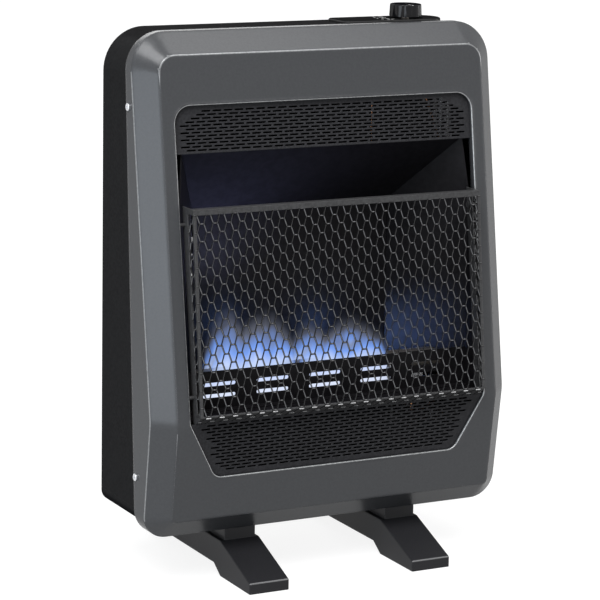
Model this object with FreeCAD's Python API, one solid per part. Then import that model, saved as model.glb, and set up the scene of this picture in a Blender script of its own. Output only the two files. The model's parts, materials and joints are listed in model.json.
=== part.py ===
import FreeCAD, Part
import math
import os

# Body: millimetres, +Z up, origin on the floor under the middle of the feet
BODY_WIDTH = 415.0
BODY_TOP = 564.0
HOUSING_BOTTOM = 51.0
KINK_HEIGHT = 176.0
BACK_Y = 38.0
SHEET = 1.2
FIT = 0.3
OVERRUN = 10.0
SAME_POINT = 0.000001

# Front housing, depths taken forward from the cabinet's rear plane
FACE_DEPTH_TOP = 88.1
FACE_DEPTH_KINK = 146.5
FACE_DEPTH_BOTTOM = 130.8
FLANGE_DEPTH_TOP = 56.6
FLANGE_DEPTH_BOTTOM = 89.4
HOUSING_BEVEL = 21.4
HOUSING_TOP_RADIUS = 39.0
HOUSING_BOTTOM_RADIUS = 26.0
KINK_RADIUS = 60.0
OPENING_WIDTH = 346.0
OPENING_TOP = 493.5
OPENING_BOTTOM = 116.0
OPENING_BASE_WIDTH = 282.0
OPENING_TOP_RADIUS = 19.0
OPENING_BASE_RADIUS = 14.0
OPENING_LIP = 8.0

# Cabinet wrap, back panel and bottom pan
CABINET_TOP_RADIUS = 44.0
WRAP_OVERLAP_TOP = 10.0
WRAP_OVERLAP_BOTTOM = 16.0
RETURN_FLANGE = 12.0
PAN_SEAM = 78.5
PAN_BOTTOM = 63.0
PAN_EDGE_RADIUS = 13.0
PAN_OVERLAP = 10.0
WALL_HOLE_SPACING = 300.0
WALL_HOLE_RADIUS = 4.0
WALL_HOLE_HEIGHT = 520.0
BACK_VENT_COUNT = 7
BACK_VENT_LENGTH = 34.0
BACK_VENT_WIDTH = 6.0
BACK_VENT_PITCH = 46.0
BACK_VENT_HEIGHTS = (300.0, 318.0, 336.0)

# Upper grille
GRILLE_BOTTOM = 444.2
GRILLE_RECESS = 4.0
GRILLE_LIP = 4.0
GRILLE_ROWS = 12
GRILLE_ROW_PITCH = 3.5
GRILLE_TOP_MARGIN = 6.0
GRILLE_EDGE_MARGIN = 4.5
GRILLE_CORNER_SHARE = 2.0
SLOT_LENGTH = 10.3
SLOT_WIDTH = 1.9
SLOT_PITCH = 12.3

# Lower grille
LOWER_RECESS = 2.5
LOWER_ROWS = 15
LOWER_BASE_MARGIN = 6.5
LOWER_EDGE_MARGIN = 5.0

# Guard
GUARD_WIDTH = 332.0
GUARD_TOP = 393.0
GUARD_RISE = 9.0
GUARD_STAND_TOP = 20.0
GUARD_STAND_BOTTOM = 12.0
GUARD_RETURN = 6.0
GUARD_TOP_STRIP = 5.5
GUARD_BOTTOM_STRIP = 1.6
GUARD_SIDE_STRIP = 3.0
GUARD_TOP_FLANGE = 9.0
GUARD_WINDOW_DEPTH_TOP = 15.0
GUARD_WINDOW_DEPTH_BOTTOM = 9.0
MESH_THICKNESS = 1.0
CELL_PITCH_X = 15.0
CELL_PITCH_Z = 17.5
CELL_BOND = 4.6
STRAND = 1.4
PIN_RADIUS = 2.0
PIN_HEAD_RADIUS = 3.2
PIN_HEAD = 1.2
PIN_EDGE = 18.0

# Firebox
FIREBOX_BACK_DEPTH = 25.0
FIREBOX_BACK_WIDTH = 234.0
FIREBOX_MOUTH_WIDTH = 340.0
FIREBOX_BEND_DEPTH = 107.0
HOOD_BACK_HEIGHT = 371.0
FLOOR_HEIGHT = 178.0
SHIELD_TOP = 220.0
SHIELD_FLANGE = 10.0
SHIELD_SLOT_LENGTH = 37.0
SHIELD_SLOT_WIDTH = 4.0
SHIELD_SLOT_PITCH = 61.0
SHIELD_SLOT_PAIRS = 5
SHIELD_SLOT_HEIGHTS = (194.0, 206.0)

# Burner and injector
BURNER_Y = -35.0
BURNER_Z = 199.0
BURNER_RADIUS = 15.0
BURNER_WALL = 1.2
BURNER_LEFT = -134.0
BURNER_RIGHT = 160.0
BELL_LENGTH = 7.0
BELL_FLARE = 3.0
PORT_RADIUS = 1.1
PORT_PITCH = 8.0
PORT_LEFT = -126.0
PORT_RIGHT = 136.0
SADDLE_XS = (-105.0, 55.0)
SADDLE_WIDTH = 38.0
SADDLE_FOOT = 12.0
INJECTOR_X = 184.0
INJECTOR_RADIUS = 6.0
INJECTOR_REAR = 8.0
INJECTOR_NOSE = 12.0
INJECTOR_TIP_RADIUS = 3.0
INJECTOR_TIP = 6.0
INJECTOR_RISE = 16.0
BRACKET_SHEET = 1.5
BRACKET_WIDTH = 36.0
BRACKET_RISE = 12.0
BRACKET_FOOT = 16.0

# Control knob, stem and gas valve
KNOB_X = 129.7
KNOB_Y = 8.0
KNOB_RADIUS = 17.3
KNOB_TOP = 580.0
KNOB_BOTTOM = 567.2
KNOB_EDGE = 1.2
KNOB_TAPER_SHARE = 0.96
KNOB_FLUTES = 10
KNOB_FLUTE_RADIUS = 9.0
KNOB_FLUTE_DEPTH = 0.9
KNOB_ROOF = 3.0
POINTER_WIDTH = 1.6
POINTER_DEPTH = 0.7
KNOB_PUSH = 4.0
RUNNING = 0.05
STEM_RADIUS = 4.0
STEM_FLAT = 2.8
STEM_BOTTOM = 506.0
COLLAR_RADIUS = 7.0
COLLAR_TOP = 560.0
COLLAR_HEIGHT = 1.4
STEM_HOLE_RADIUS = 6.0
PLUG_RADIUS = 9.0
PLUG_BOTTOM = 497.0
VALVE_WIDTH = 44.0
VALVE_DEPTH = 38.0
VALVE_BOTTOM = 482.0
VALVE_TOP = 536.0
BONNET_RADIUS = 14.0
BONNET_TOP = 547.0
VALVE_EDGE = 2.5
SPRING_WIRE = 1.0
SPRING_RADIUS = 5.6
SPRING_TURNS = 4
PIEZO_WIDTH = 16.0
PIEZO_DEPTH = 20.0
PIEZO_BOTTOM = 496.0
PIEZO_TOP = 532.0

# Control panel on the cabinet top
PANEL_LEFT = 45.6
PANEL_RIGHT = 169.0
PANEL_FRONT = -14.0
PANEL_BACK = 30.0
PANEL_HEIGHT = 3.0
PANEL_CORNER = 8.0
PANEL_END_RADIUS = 21.5
PANEL_EDGE = 1.6
PANEL_WELL_GAP = 1.4

# Feet
FOOT_LENGTH = 276.0
FOOT_WIDTH = 45.0
FOOT_SPACING = 190.4
FOOT_PAD = 69.0
FOOT_REAR_PAD = 48.0
FOOT_STEP = 16.0
FOOT_ARCH = 10.5
FOOT_TOE = 11.4
FOOT_SHOULDER = 38.0
FOOT_EDGE = 1.5
NECK_WIDTH = 35.0
NECK_FRONT = -68.0
NECK_REAR_INSET = 6.0

# Screws
SCREW_RADIUS = 1.75
SCREW_HEAD_RADIUS = 3.9
SCREW_HEAD = 2.0
SCREW_LENGTH = 8.0
SCREW_CROSS = 0.9
SCREW_CROSS_DEPTH = 0.9
HOUSING_SCREW_HEIGHTS = (112.7, 489.7)
HOUSING_SCREW_EDGE = 6.5
FOOT_SCREW_YS = (-38.0, 18.0)
FOOT_SCREW_LENGTH = 16.0
BACK_SCREW_HEIGHTS = (120.0, 320.0, 500.0)

# Pressure regulator and gas inlet
REGULATOR_X = 178.0
REGULATOR_Y = 8.0
REGULATOR_RADIUS = 21.0
REGULATOR_BOTTOM = 96.0
REGULATOR_TOP = 124.0
REGULATOR_RIB = 1.6
OUTLET_RADIUS = 8.0
OUTLET_TOP = 134.0
CAP_RADIUS = 13.0
CAP_BOTTOM = 76.0
CAP_SLOT = 2.0
INLET_Z = 110.0
INLET_RADIUS = 11.0
INLET_BORE = 7.6
INLET_THREAD_LENGTH = 14.0
INLET_STANDOUT = 12.0
INLET_FLANGE_RADIUS = 12.4
INLET_FLANGE = 4.0
INLET_HOLE_GAP = 1.0

# Pipes and leads
PIPE_RADIUS = 4.75
PIPE_BEND = 13.0
NUT_FLATS = 16.0
NUT_LENGTH = 9.0
SUPPLY_PORT_Z = 521.0
BURNER_PORT_Z = 496.0
BURNER_PORT_Y = -5.0
BURNER_JOG_TOP = 300.0
BURNER_JOG_BOTTOM = 255.0
PILOT_PIPE_RADIUS = 3.2
PILOT_BEND = 10.0
LEAD_RADIUS = 1.5
LEAD_BEND = 8.0
IGNITION_RADIUS = 2.0
CAPILLARY_RADIUS = 1.0
CAPILLARY_BEND = 6.0

# Pilot
PILOT_X = 100.0
PILOT_Y = -58.0
PILOT_SPACING = 12.0
PILOT_SHELF = 195.0
PILOT_SHELF_WIDTH = 38.0
PILOT_SHELF_DEPTH = 12.0
PILOT_BASE = 184.0
PILOT_BURNER_RADIUS = 4.5
PILOT_BURNER_TOP = 208.0
PILOT_SLOT = 2.0
THERMOCOUPLE_RADIUS = 2.2
THERMOCOUPLE_TOP = 213.0
ELECTRODE_RADIUS = 3.0
ELECTRODE_TOP = 204.0
ELECTRODE_TIP_RADIUS = 0.8
ELECTRODE_TIP_TOP = 215.0
SERVICE_GAP = 6.0

# Thermostat bulb behind the firebox
BULB_RADIUS = 4.5
BULB_LEFT = 8.0
BULB_RIGHT = 88.0
BULB_Y = 23.0
BULB_Z = 100.0
CLIP_WIDTH = 8.0
CLIP_WALL = 1.0
CLIP_INSET = 14.0

# Sizes that follow from the driving dimensions
HALF_WIDTH = BODY_WIDTH / 2
CABINET_HALF = HALF_WIDTH - SHEET - FIT
CABINET_TOP = BODY_TOP - SHEET - FIT
PAN_FLOOR = PAN_BOTTOM + SHEET
PANEL_INNER_Y = BACK_Y - SHEET
BODY_REACH = FACE_DEPTH_KINK + OVERRUN
GUARD_BOTTOM = KINK_HEIGHT + GUARD_RISE
FIREBOX_BACK_Y = BACK_Y - FIREBOX_BACK_DEPTH
FIREBOX_BEND_Y = BACK_Y - FIREBOX_BEND_DEPTH
VALVE_RIGHT = KNOB_X + VALVE_WIDTH / 2
VALVE_LEFT = KNOB_X - VALVE_WIDTH / 2
VALVE_FRONT = KNOB_Y - VALVE_DEPTH / 2
VALVE_REAR = KNOB_Y + VALVE_DEPTH / 2
FLOOR_TOP = FLOOR_HEIGHT + SHEET
STEM_TOP = KNOB_TOP - KNOB_ROOF
INJECTOR_TOP = BURNER_Z + INJECTOR_RISE
UP = FreeCAD.Vector(0, 0, 1)
RIGHT = FreeCAD.Vector(1, 0, 0)
REARWARD = FreeCAD.Vector(0, 1, 0)


# Small geometry helpers
def vec(x, y, z):
    return FreeCAD.Vector(x, y, z)


def between(z, low_z, high_z, low_value, high_value):
    return low_value + (high_value - low_value) * (z - low_z) / (high_z - low_z)


def upright(y):
    """Place (x, z) points in the plane at depth y."""
    return lambda point: vec(point.x, y, point.y)


def sideways(x):
    """Place (y, z) points in the plane at width x."""
    return lambda point: vec(x, point.x, point.y)


def level(z):
    """Place (x, y) points in the plane at height z."""
    return lambda point: vec(point.x, point.y, z)


def leaning(depth_at, offset):
    """Place (x, z) points on a leaning plane whose depth follows the height."""
    return lambda point: vec(point.x, depth_at(point.y) + offset, point.y)


def rectangle(left, right, low, high):
    return [(left, low), (right, low), (right, high), (left, high)]


def rounded_corner(before, here, after, radius):
    """Points of one corner of a loop: the corner itself or start, middle and end of its arc."""
    if radius == 0:
        return [here]
    back = (before - here).normalize()
    ahead = (after - here).normalize()
    half_turn = back.getAngle(ahead) / 2
    reach = radius / math.tan(half_turn)
    inward = (back + ahead).normalize()
    middle = here + inward * (radius / math.sin(half_turn) - radius)
    return [here + back * reach, middle, here + ahead * reach]


def loop(points, radii, place):
    """Closed wire through flat points with rounded corners, put into space by place."""
    flat = [vec(a, b, 0) for a, b in points]
    count = len(flat)
    corners = []
    for i in range(count):
        corners.append(rounded_corner(flat[i - 1], flat[i], flat[(i + 1) % count], radii[i]))
    edges = []
    for i in range(count):
        corner = corners[i]
        if len(corner) > 1:
            edges.append(Part.Arc(*[place(point) for point in corner]).toShape())
        start = place(corner[-1])
        end = place(corners[(i + 1) % count][0])
        if start.distanceToPoint(end) > SAME_POINT:
            edges.append(Part.makeLine(start, end))
    return Part.Wire(edges)


def sharp(points, place):
    return loop(points, [0] * len(points), place)


def slab(points, radii, place, push):
    return Part.Face(loop(points, radii, place)).extrude(push)


def block(points, place, push):
    return Part.Face(sharp(points, place)).extrude(push)


def box(left, right, front, rear, low, high):
    return Part.makeBox(right - left, rear - front, high - low, vec(left, front, low))


def rod(base, direction, radius, length):
    return Part.makeCylinder(radius, length, base, direction)


def holed_plate(outer, holes, push):
    face = Part.makeFace([outer] + holes, "Part::FaceMakerBullseye")
    return face.extrude(push)


def slot_wire(middle_x, middle_z, length, width, place):
    """Obround slot lying along x."""
    reach = (length - width) / 2
    half = width / 2
    left = middle_x - reach
    right = middle_x + reach
    top_left = place(vec(left, middle_z + half, 0))
    top_right = place(vec(right, middle_z + half, 0))
    low_left = place(vec(left, middle_z - half, 0))
    low_right = place(vec(right, middle_z - half, 0))
    far_left = place(vec(left - half, middle_z, 0))
    far_right = place(vec(right + half, middle_z, 0))
    return Part.Wire([
        Part.makeLine(low_left, low_right),
        Part.Arc(low_right, far_right, top_right).toShape(),
        Part.makeLine(top_right, top_left),
        Part.Arc(top_left, far_left, low_left).toShape(),
    ])


def hexagon(centre, direction, flats):
    """Hexagonal face across the given direction."""
    corner_radius = flats / math.sqrt(3)
    wire = Part.makePolygon([
        vec(corner_radius * math.cos(math.radians(60 * i)), corner_radius * math.sin(math.radians(60 * i)), 0)
        for i in range(7)
    ])
    wire.Placement = FreeCAD.Placement(centre, FreeCAD.Rotation(UP, direction))
    return Part.Face(wire)


def nut(base, direction, bore):
    """Hexagonal pipe nut that starts at base."""
    solid = hexagon(base, direction, NUT_FLATS).extrude(direction * NUT_LENGTH)
    return solid.cut(rod(base - direction * OVERRUN, direction, bore, NUT_LENGTH + 2 * OVERRUN))


def pipe(points, radius, bend):
    """Round pipe along straight runs with a tangent arc at each inner point."""
    edges = []
    last = points[0]
    for i in range(1, len(points) - 1):
        start, middle, end = rounded_corner(points[i - 1], points[i], points[i + 1], bend)
        edges.append(Part.makeLine(last, start))
        edges.append(Part.Arc(start, middle, end).toShape())
        last = end
    edges.append(Part.makeLine(last, points[-1]))
    path = Part.Wire(edges)
    section = Part.Wire(Part.makeCircle(radius, points[0], points[1] - points[0]))
    return path.makePipeShell([section], True, False)


def screw(seat, inward, length):
    """Pan-head screw whose head sits on seat and whose shank runs inward."""
    head = rod(seat - inward * SCREW_HEAD, inward, SCREW_HEAD_RADIUS, SCREW_HEAD)
    head = head.makeFillet(SCREW_HEAD / 3, [outer_rim(head, seat - inward * SCREW_HEAD)])
    solid = head.fuse(rod(seat, inward, SCREW_RADIUS, length)).removeSplitter()
    arm = box(-SCREW_HEAD_RADIUS / 2, SCREW_HEAD_RADIUS / 2, -SCREW_CROSS / 2, SCREW_CROSS / 2,
              -SCREW_CROSS_DEPTH, SCREW_CROSS_DEPTH)
    cross = arm.fuse(arm.rotated(vec(0, 0, 0), UP, 90))
    cross.Placement = FreeCAD.Placement(seat - inward * SCREW_HEAD, FreeCAD.Rotation(UP, inward))
    return solid.cut(cross)


def upright_edges(solid):
    """Straight edges that run along Z."""
    return [edge for edge in solid.Edges if abs(edge.tangentAt(edge.FirstParameter).z) > 1 - SAME_POINT]


def outer_rim(solid, centre):
    """Circular edge around the given centre."""
    for edge in solid.Edges:
        if hasattr(edge.Curve, "Center") and edge.Curve.Center.isEqual(centre, FIT):
            return edge
    raise ValueError("no rim at that place")


def face_y(z):
    """Depth of the housing's front face at height z."""
    if z >= KINK_HEIGHT:
        depth = between(z, KINK_HEIGHT, BODY_TOP, FACE_DEPTH_KINK, FACE_DEPTH_TOP)
    else:
        depth = between(z, HOUSING_BOTTOM, KINK_HEIGHT, FACE_DEPTH_BOTTOM, FACE_DEPTH_KINK)
    return BACK_Y - depth


def flange_y(z):
    """Depth of the rear edge of the housing's flange at height z."""
    return BACK_Y - between(z, HOUSING_BOTTOM, BODY_TOP, FLANGE_DEPTH_BOTTOM, FLANGE_DEPTH_TOP)


def wrap_front_y(z):
    """Depth of the cabinet wrap's front edge, inside the flange."""
    return flange_y(z) - between(z, HOUSING_BOTTOM, BODY_TOP, WRAP_OVERLAP_BOTTOM, WRAP_OVERLAP_TOP)


def guard_y(z):
    """Depth of the guard's front plane at height z."""
    low = face_y(GUARD_BOTTOM) - GUARD_STAND_BOTTOM
    high = face_y(GUARD_TOP) - GUARD_STAND_TOP
    return between(z, GUARD_BOTTOM, GUARD_TOP, low, high)


# Front housing
def upper_face_y(z):
    return BACK_Y - between(z, KINK_HEIGHT, BODY_TOP, FACE_DEPTH_KINK, FACE_DEPTH_TOP)


def lower_face_y(z):
    return BACK_Y - between(z, HOUSING_BOTTOM, KINK_HEIGHT, FACE_DEPTH_BOTTOM, FACE_DEPTH_KINK)


def bevelled_space(depth_at, offset, outline, radii, bevel):
    """Space behind a leaning face whose rim falls away in a bevel."""
    left, right, low, high = outline

    def ring(grow, back):
        points = rectangle(left - grow, right + grow, low - grow, high + grow)
        grown = [radius + grow if radius else 0 for radius in radii]
        return loop(points, grown, leaning(depth_at, offset + back))

    inner = ring(-bevel, 0)
    outer = ring(OVERRUN, bevel + OVERRUN)
    behind = Part.Face(outer).extrude(vec(0, 2 * BODY_REACH, 0))
    return Part.makeLoft([inner, outer], True, True).fuse(behind)


def housing_block(inset, rear):
    """Filled housing with its walls drawn in by inset and its open rear moved back."""
    half = HALF_WIDTH - inset
    low = HOUSING_BOTTOM + inset
    high = BODY_TOP - inset
    base = HOUSING_BOTTOM_RADIUS - inset
    crown = HOUSING_TOP_RADIUS - inset
    bevel = HOUSING_BEVEL - (2 - math.sqrt(2)) * inset
    prism = slab(rectangle(-half, half, low, high), [base, base, crown, crown], upright(BACK_Y + BODY_REACH),
                 vec(0, -2 * BODY_REACH, 0))
    upper = bevelled_space(upper_face_y, inset, (-half, half, low - BODY_WIDTH, high), [0, 0, crown, crown], bevel)
    lower = bevelled_space(lower_face_y, inset, (-half, half, low, high + BODY_WIDTH), [base, base, 0, 0], bevel)
    under = HOUSING_BOTTOM - OVERRUN
    over = BODY_TOP + OVERRUN
    far = BACK_Y - 2 * BODY_REACH
    side = [(far, under), (flange_y(under) + rear, under), (flange_y(over) + rear, over), (far, over)]
    solid = prism.common(upper).common(lower).common(block(side, sideways(-BODY_WIDTH), vec(2 * BODY_WIDTH, 0, 0)))
    return solid.makeFillet(KINK_RADIUS, kink_edges(solid))


def kink_edges(solid):
    """Edges across the front where its upper and lower faces meet."""
    limit = flange_y(KINK_HEIGHT) - SHEET
    edges = []
    for edge in solid.Edges:
        span = edge.BoundBox
        at_kink = abs(span.ZMin - KINK_HEIGHT) < FIT and abs(span.ZMax - KINK_HEIGHT) < FIT
        if at_kink and edge.CenterOfMass.y < limit:
            edges.append(edge)
    return edges


def opening_face(inset):
    """Face of the housing's opening, drawn in by inset, in front of the housing."""
    half = OPENING_WIDTH / 2
    base = OPENING_BASE_WIDTH / 2
    points = [(-base, OPENING_BOTTOM), (base, OPENING_BOTTOM), (half, KINK_HEIGHT),
              (half, OPENING_TOP), (-half, OPENING_TOP), (-half, KINK_HEIGHT)]
    bend = OPENING_BASE_RADIUS
    radii = [bend, bend, bend, OPENING_TOP_RADIUS, OPENING_TOP_RADIUS, bend]
    face = Part.Face(loop(points, radii, upright(BACK_Y - BODY_REACH)))
    return face.makeOffset2D(-inset) if inset else face


def housing_screw_seats():
    """Places of the housing screws on the flange, each with its inward direction."""
    seats = []
    for z in HOUSING_SCREW_HEIGHTS:
        y = flange_y(z) - HOUSING_SCREW_EDGE
        for side in (-1, 1):
            seats.append((vec(side * HALF_WIDTH, y, z), vec(-side, 0, 0)))
    return seats


def drill_housing_screws(solid):
    for seat, inward in housing_screw_seats():
        solid = solid.cut(rod(seat - inward * OVERRUN, inward, SCREW_RADIUS + FIT, SCREW_LENGTH + OVERRUN))
    return solid


def front_housing():
    outer = housing_block(0, 0)
    shell = outer.cut(housing_block(SHEET, OVERRUN))
    through = vec(0, BODY_REACH, 0)
    opening = opening_face(0)
    ring = opening.cut(opening_face(SHEET)).extrude(through)
    lip = ring.common(outer).cut(outer.translated(vec(0, OPENING_LIP, 0)))
    solid = shell.cut(opening.extrude(through)).fuse(lip).removeSplitter()
    return drill_housing_screws(solid)


def housing_screws():
    return Part.makeCompound([screw(seat, inward, SCREW_LENGTH) for seat, inward in housing_screw_seats()])


# Cabinet
def cabinet_wrap():
    outer = rectangle(-CABINET_HALF, CABINET_HALF, PAN_SEAM, CABINET_TOP)
    inner_half = CABINET_HALF - SHEET
    inner_top = CABINET_TOP - SHEET
    inner_radius = CABINET_TOP_RADIUS - SHEET
    inner = rectangle(-inner_half, inner_half, PAN_SEAM - OVERRUN, inner_top)
    hole_half = inner_half - RETURN_FLANGE
    hole = rectangle(-hole_half, hole_half, PAN_SEAM - OVERRUN, inner_top - RETURN_FLANGE)
    push = vec(0, -BODY_REACH, 0)
    solid = slab(outer, [0, 0, CABINET_TOP_RADIUS, CABINET_TOP_RADIUS], upright(BACK_Y), push)
    solid = solid.cut(slab(inner, [0, 0, inner_radius, inner_radius], upright(BACK_Y - 2 * SHEET), push))
    solid = solid.cut(slab(inner, [0, 0, inner_radius, inner_radius], upright(BACK_Y + OVERRUN),
                           vec(0, -SHEET - OVERRUN, 0)))
    hole_radius = inner_radius - RETURN_FLANGE
    solid = solid.cut(slab(hole, [0, 0, hole_radius, hole_radius], upright(BACK_Y + OVERRUN), push))
    low = PAN_SEAM - OVERRUN
    high = CABINET_TOP + OVERRUN
    front = [(BACK_Y - 2 * BODY_REACH, low), (wrap_front_y(low), low),
             (wrap_front_y(high), high), (BACK_Y - 2 * BODY_REACH, high)]
    solid = solid.cut(block(front, sideways(-BODY_WIDTH), vec(2 * BODY_WIDTH, 0, 0)))
    stem_hole = rod(vec(KNOB_X, KNOB_Y, inner_top - OVERRUN), UP, STEM_HOLE_RADIUS, 2 * OVERRUN)
    solid = drill_housing_screws(solid.cut(stem_hole))
    return drill_back_screws(solid)


def back_screw_seats():
    """Places of the back screws in the middle of the wrap's return flange."""
    x = CABINET_HALF - SHEET - RETURN_FLANGE / 2
    return [vec(side * x, BACK_Y, z) for z in BACK_SCREW_HEIGHTS for side in (-1, 1)]


def drill_back_screws(solid):
    for seat in back_screw_seats():
        hole = rod(seat + REARWARD * OVERRUN, -REARWARD, SCREW_RADIUS + FIT, SCREW_LENGTH + OVERRUN)
        solid = solid.cut(hole)
    return solid


def back_panel():
    half = CABINET_HALF - SHEET - FIT
    top = CABINET_TOP - SHEET - FIT
    radius = CABINET_TOP_RADIUS - SHEET - FIT
    place = upright(PANEL_INNER_Y)
    outer = loop(rectangle(-half, half, PAN_SEAM + FIT, top), [0, 0, radius, radius], place)
    holes = []
    for i in range(BACK_VENT_COUNT):
        x = (i - (BACK_VENT_COUNT - 1) / 2) * BACK_VENT_PITCH
        for z in BACK_VENT_HEIGHTS:
            holes.append(slot_wire(x, z, BACK_VENT_LENGTH, BACK_VENT_WIDTH, place))
    for side in (-1, 1):
        centre = vec(side * WALL_HOLE_SPACING / 2, PANEL_INNER_Y, WALL_HOLE_HEIGHT)
        holes.append(Part.Wire(Part.makeCircle(WALL_HOLE_RADIUS, centre, REARWARD)))
    inlet = vec(REGULATOR_X, PANEL_INNER_Y, INLET_Z)
    holes.append(Part.Wire(Part.makeCircle(INLET_RADIUS + INLET_HOLE_GAP, inlet, REARWARD)))
    return drill_back_screws(holed_plate(outer, holes, vec(0, SHEET, 0)))


def back_screws():
    return Part.makeCompound([screw(seat, -REARWARD, SCREW_LENGTH) for seat in back_screw_seats()])


def pan_front_y():
    return flange_y(PAN_BOTTOM) - PAN_OVERLAP


def bottom_pan():
    rim = PAN_SEAM - FIT
    outer = rectangle(-CABINET_HALF, CABINET_HALF, PAN_BOTTOM, rim)
    inner_half = CABINET_HALF - SHEET
    inner = rectangle(-inner_half, inner_half, PAN_FLOOR, rim + OVERRUN)
    edge = PAN_EDGE_RADIUS
    front = pan_front_y()
    push = vec(0, front - BACK_Y, 0)
    solid = slab(outer, [edge, edge, 0, 0], upright(BACK_Y), push)
    solid = solid.cut(slab(inner, [edge - SHEET, edge - SHEET, 0, 0], upright(PANEL_INNER_Y), push))
    lip_half = HALF_WIDTH - HOUSING_BOTTOM_RADIUS - SHEET
    lip = box(-lip_half, lip_half, front, front + SHEET, HOUSING_BOTTOM + SHEET + FIT, PAN_FLOOR)
    solid = solid.fuse(lip).removeSplitter()
    for seat in foot_screw_seats():
        solid = solid.cut(rod(seat + UP * OVERRUN, -UP, SCREW_RADIUS + FIT, 2 * OVERRUN))
    return solid


# Grilles
def grille_slot_inside(x, z, half, top, corner):
    """True where a slot keeps its margin to the side and its slanted margin to the rounded corner."""
    corner_margin = GRILLE_CORNER_SHARE * max(corner - (top - z), 0)
    return abs(x) + SLOT_LENGTH / 2 < half - GRILLE_EDGE_MARGIN - corner_margin


def upper_grille():
    inset = SHEET + FIT
    half = OPENING_WIDTH / 2 - inset
    top = OPENING_TOP - inset
    corner = OPENING_TOP_RADIUS - inset
    place = leaning(face_y, GRILLE_RECESS)
    outer = loop(rectangle(-half, half, GRILLE_BOTTOM, top), [0, 0, corner, corner], place)
    holes = []
    columns = math.ceil(half / SLOT_PITCH)
    for row in range(GRILLE_ROWS):
        z = top - GRILLE_TOP_MARGIN - row * GRILLE_ROW_PITCH
        shift = SLOT_PITCH / 2 * (row % 2)
        for column in range(-columns, columns + 1):
            x = column * SLOT_PITCH + shift
            if grille_slot_inside(x, z, half, top, corner):
                holes.append(slot_wire(x, z, SLOT_LENGTH, SLOT_WIDTH, place))
    plate = holed_plate(outer, holes, vec(0, SHEET, 0))
    lip_front = face_y(GRILLE_BOTTOM) + GRILLE_RECESS
    lip = box(-half, half, lip_front, lip_front + SHEET + GRILLE_LIP, GRILLE_BOTTOM, GRILLE_BOTTOM + SHEET)
    return plate.fuse(lip)


def lower_half_at(z):
    """Half width of the opening's tapered lower part at height z."""
    return between(z, OPENING_BOTTOM, KINK_HEIGHT, OPENING_BASE_WIDTH / 2, OPENING_WIDTH / 2)


def lower_grille():
    slant = math.atan2(OPENING_WIDTH / 2 - OPENING_BASE_WIDTH / 2, KINK_HEIGHT - OPENING_BOTTOM)
    inset = SHEET + FIT
    side_inset = inset / math.cos(slant)
    low = OPENING_BOTTOM + inset
    high = KINK_HEIGHT
    place = leaning(face_y, LOWER_RECESS)

    def half_at(z):
        return lower_half_at(z) - side_inset

    corner = OPENING_BASE_RADIUS - inset
    top_half = half_at(high) - OPENING_BASE_RADIUS * (1 / math.cos(slant / 2) - 1)
    points = [(-half_at(low), low), (half_at(low), low), (top_half, high), (-top_half, high)]
    outer = loop(points, [corner, corner, 0, 0], place)
    holes = []
    columns = math.ceil(OPENING_WIDTH / 2 / SLOT_PITCH)
    for row in range(LOWER_ROWS):
        z = low + LOWER_BASE_MARGIN + row * GRILLE_ROW_PITCH
        shift = SLOT_PITCH / 2 * (row % 2)
        for column in range(-columns, columns + 1):
            x = column * SLOT_PITCH + shift
            if abs(x) + SLOT_LENGTH / 2 < half_at(z - SLOT_WIDTH) - LOWER_EDGE_MARGIN:
                holes.append(slot_wire(x, z, SLOT_LENGTH, SLOT_WIDTH, place))
    return holed_plate(outer, holes, vec(0, SHEET, 0))


# Guard
def guard_frame():
    half = GUARD_WIDTH / 2
    place = leaning(guard_y, 0)
    outer = sharp(rectangle(-half, half, GUARD_BOTTOM, GUARD_TOP), place)
    inner_half = half - GUARD_SIDE_STRIP
    window = rectangle(-inner_half, inner_half, GUARD_BOTTOM + GUARD_BOTTOM_STRIP, GUARD_TOP - GUARD_TOP_STRIP)
    solid = holed_plate(outer, [sharp(window, place)], vec(0, SHEET, 0))
    low_back = face_y(GUARD_BOTTOM) + GUARD_RETURN
    high_back = face_y(GUARD_TOP) + GUARD_RETURN
    hem_low = KINK_HEIGHT + FIT
    hem_back = face_y(KINK_HEIGHT) + LOWER_RECESS - FIT
    front = guard_y(GUARD_BOTTOM)
    side = [(front, GUARD_BOTTOM), (hem_back, hem_low), (low_back, hem_low),
            (high_back, GUARD_TOP), (guard_y(GUARD_TOP), GUARD_TOP)]
    solid = solid.fuse(block(side, sideways(-half), vec(SHEET, 0, 0)))
    solid = solid.fuse(block(side, sideways(half - SHEET), vec(SHEET, 0, 0)))
    hem = [(front, GUARD_BOTTOM), (hem_back, hem_low), (hem_back, hem_low + SHEET), (front, GUARD_BOTTOM + SHEET)]
    bottom = block(hem, sideways(-half), vec(2 * half, 0, 0))
    top_back = guard_y(GUARD_TOP) + GUARD_TOP_FLANGE
    top = box(-half, half, guard_y(GUARD_TOP), top_back, GUARD_TOP - SHEET, GUARD_TOP)
    solid = solid.fuse(bottom).fuse(top).removeSplitter()
    low = GUARD_BOTTOM + GUARD_SIDE_STRIP
    high = GUARD_TOP - GUARD_TOP_STRIP
    side_window = [(guard_y(low) + GUARD_SIDE_STRIP, low), (guard_y(low) + GUARD_WINDOW_DEPTH_BOTTOM, low),
                   (guard_y(high) + GUARD_WINDOW_DEPTH_TOP, high), (guard_y(high) + GUARD_SIDE_STRIP, high)]
    solid = solid.cut(block(side_window, sideways(-half - OVERRUN), vec(2 * (half + OVERRUN), 0, 0)))
    for base, outward in guard_pin_seats():
        solid = solid.cut(rod(base - outward * OVERRUN, outward, PIN_RADIUS + FIT, 2 * OVERRUN))
    return solid


def clip_polygon(points, inside, crossing):
    """Cut a polygon with one straight edge."""
    kept = []
    for i in range(len(points)):
        before = points[i - 1]
        here = points[i]
        if inside(before) != inside(here):
            kept.append(crossing(before, here))
        if inside(here):
            kept.append(here)
    return kept


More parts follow.
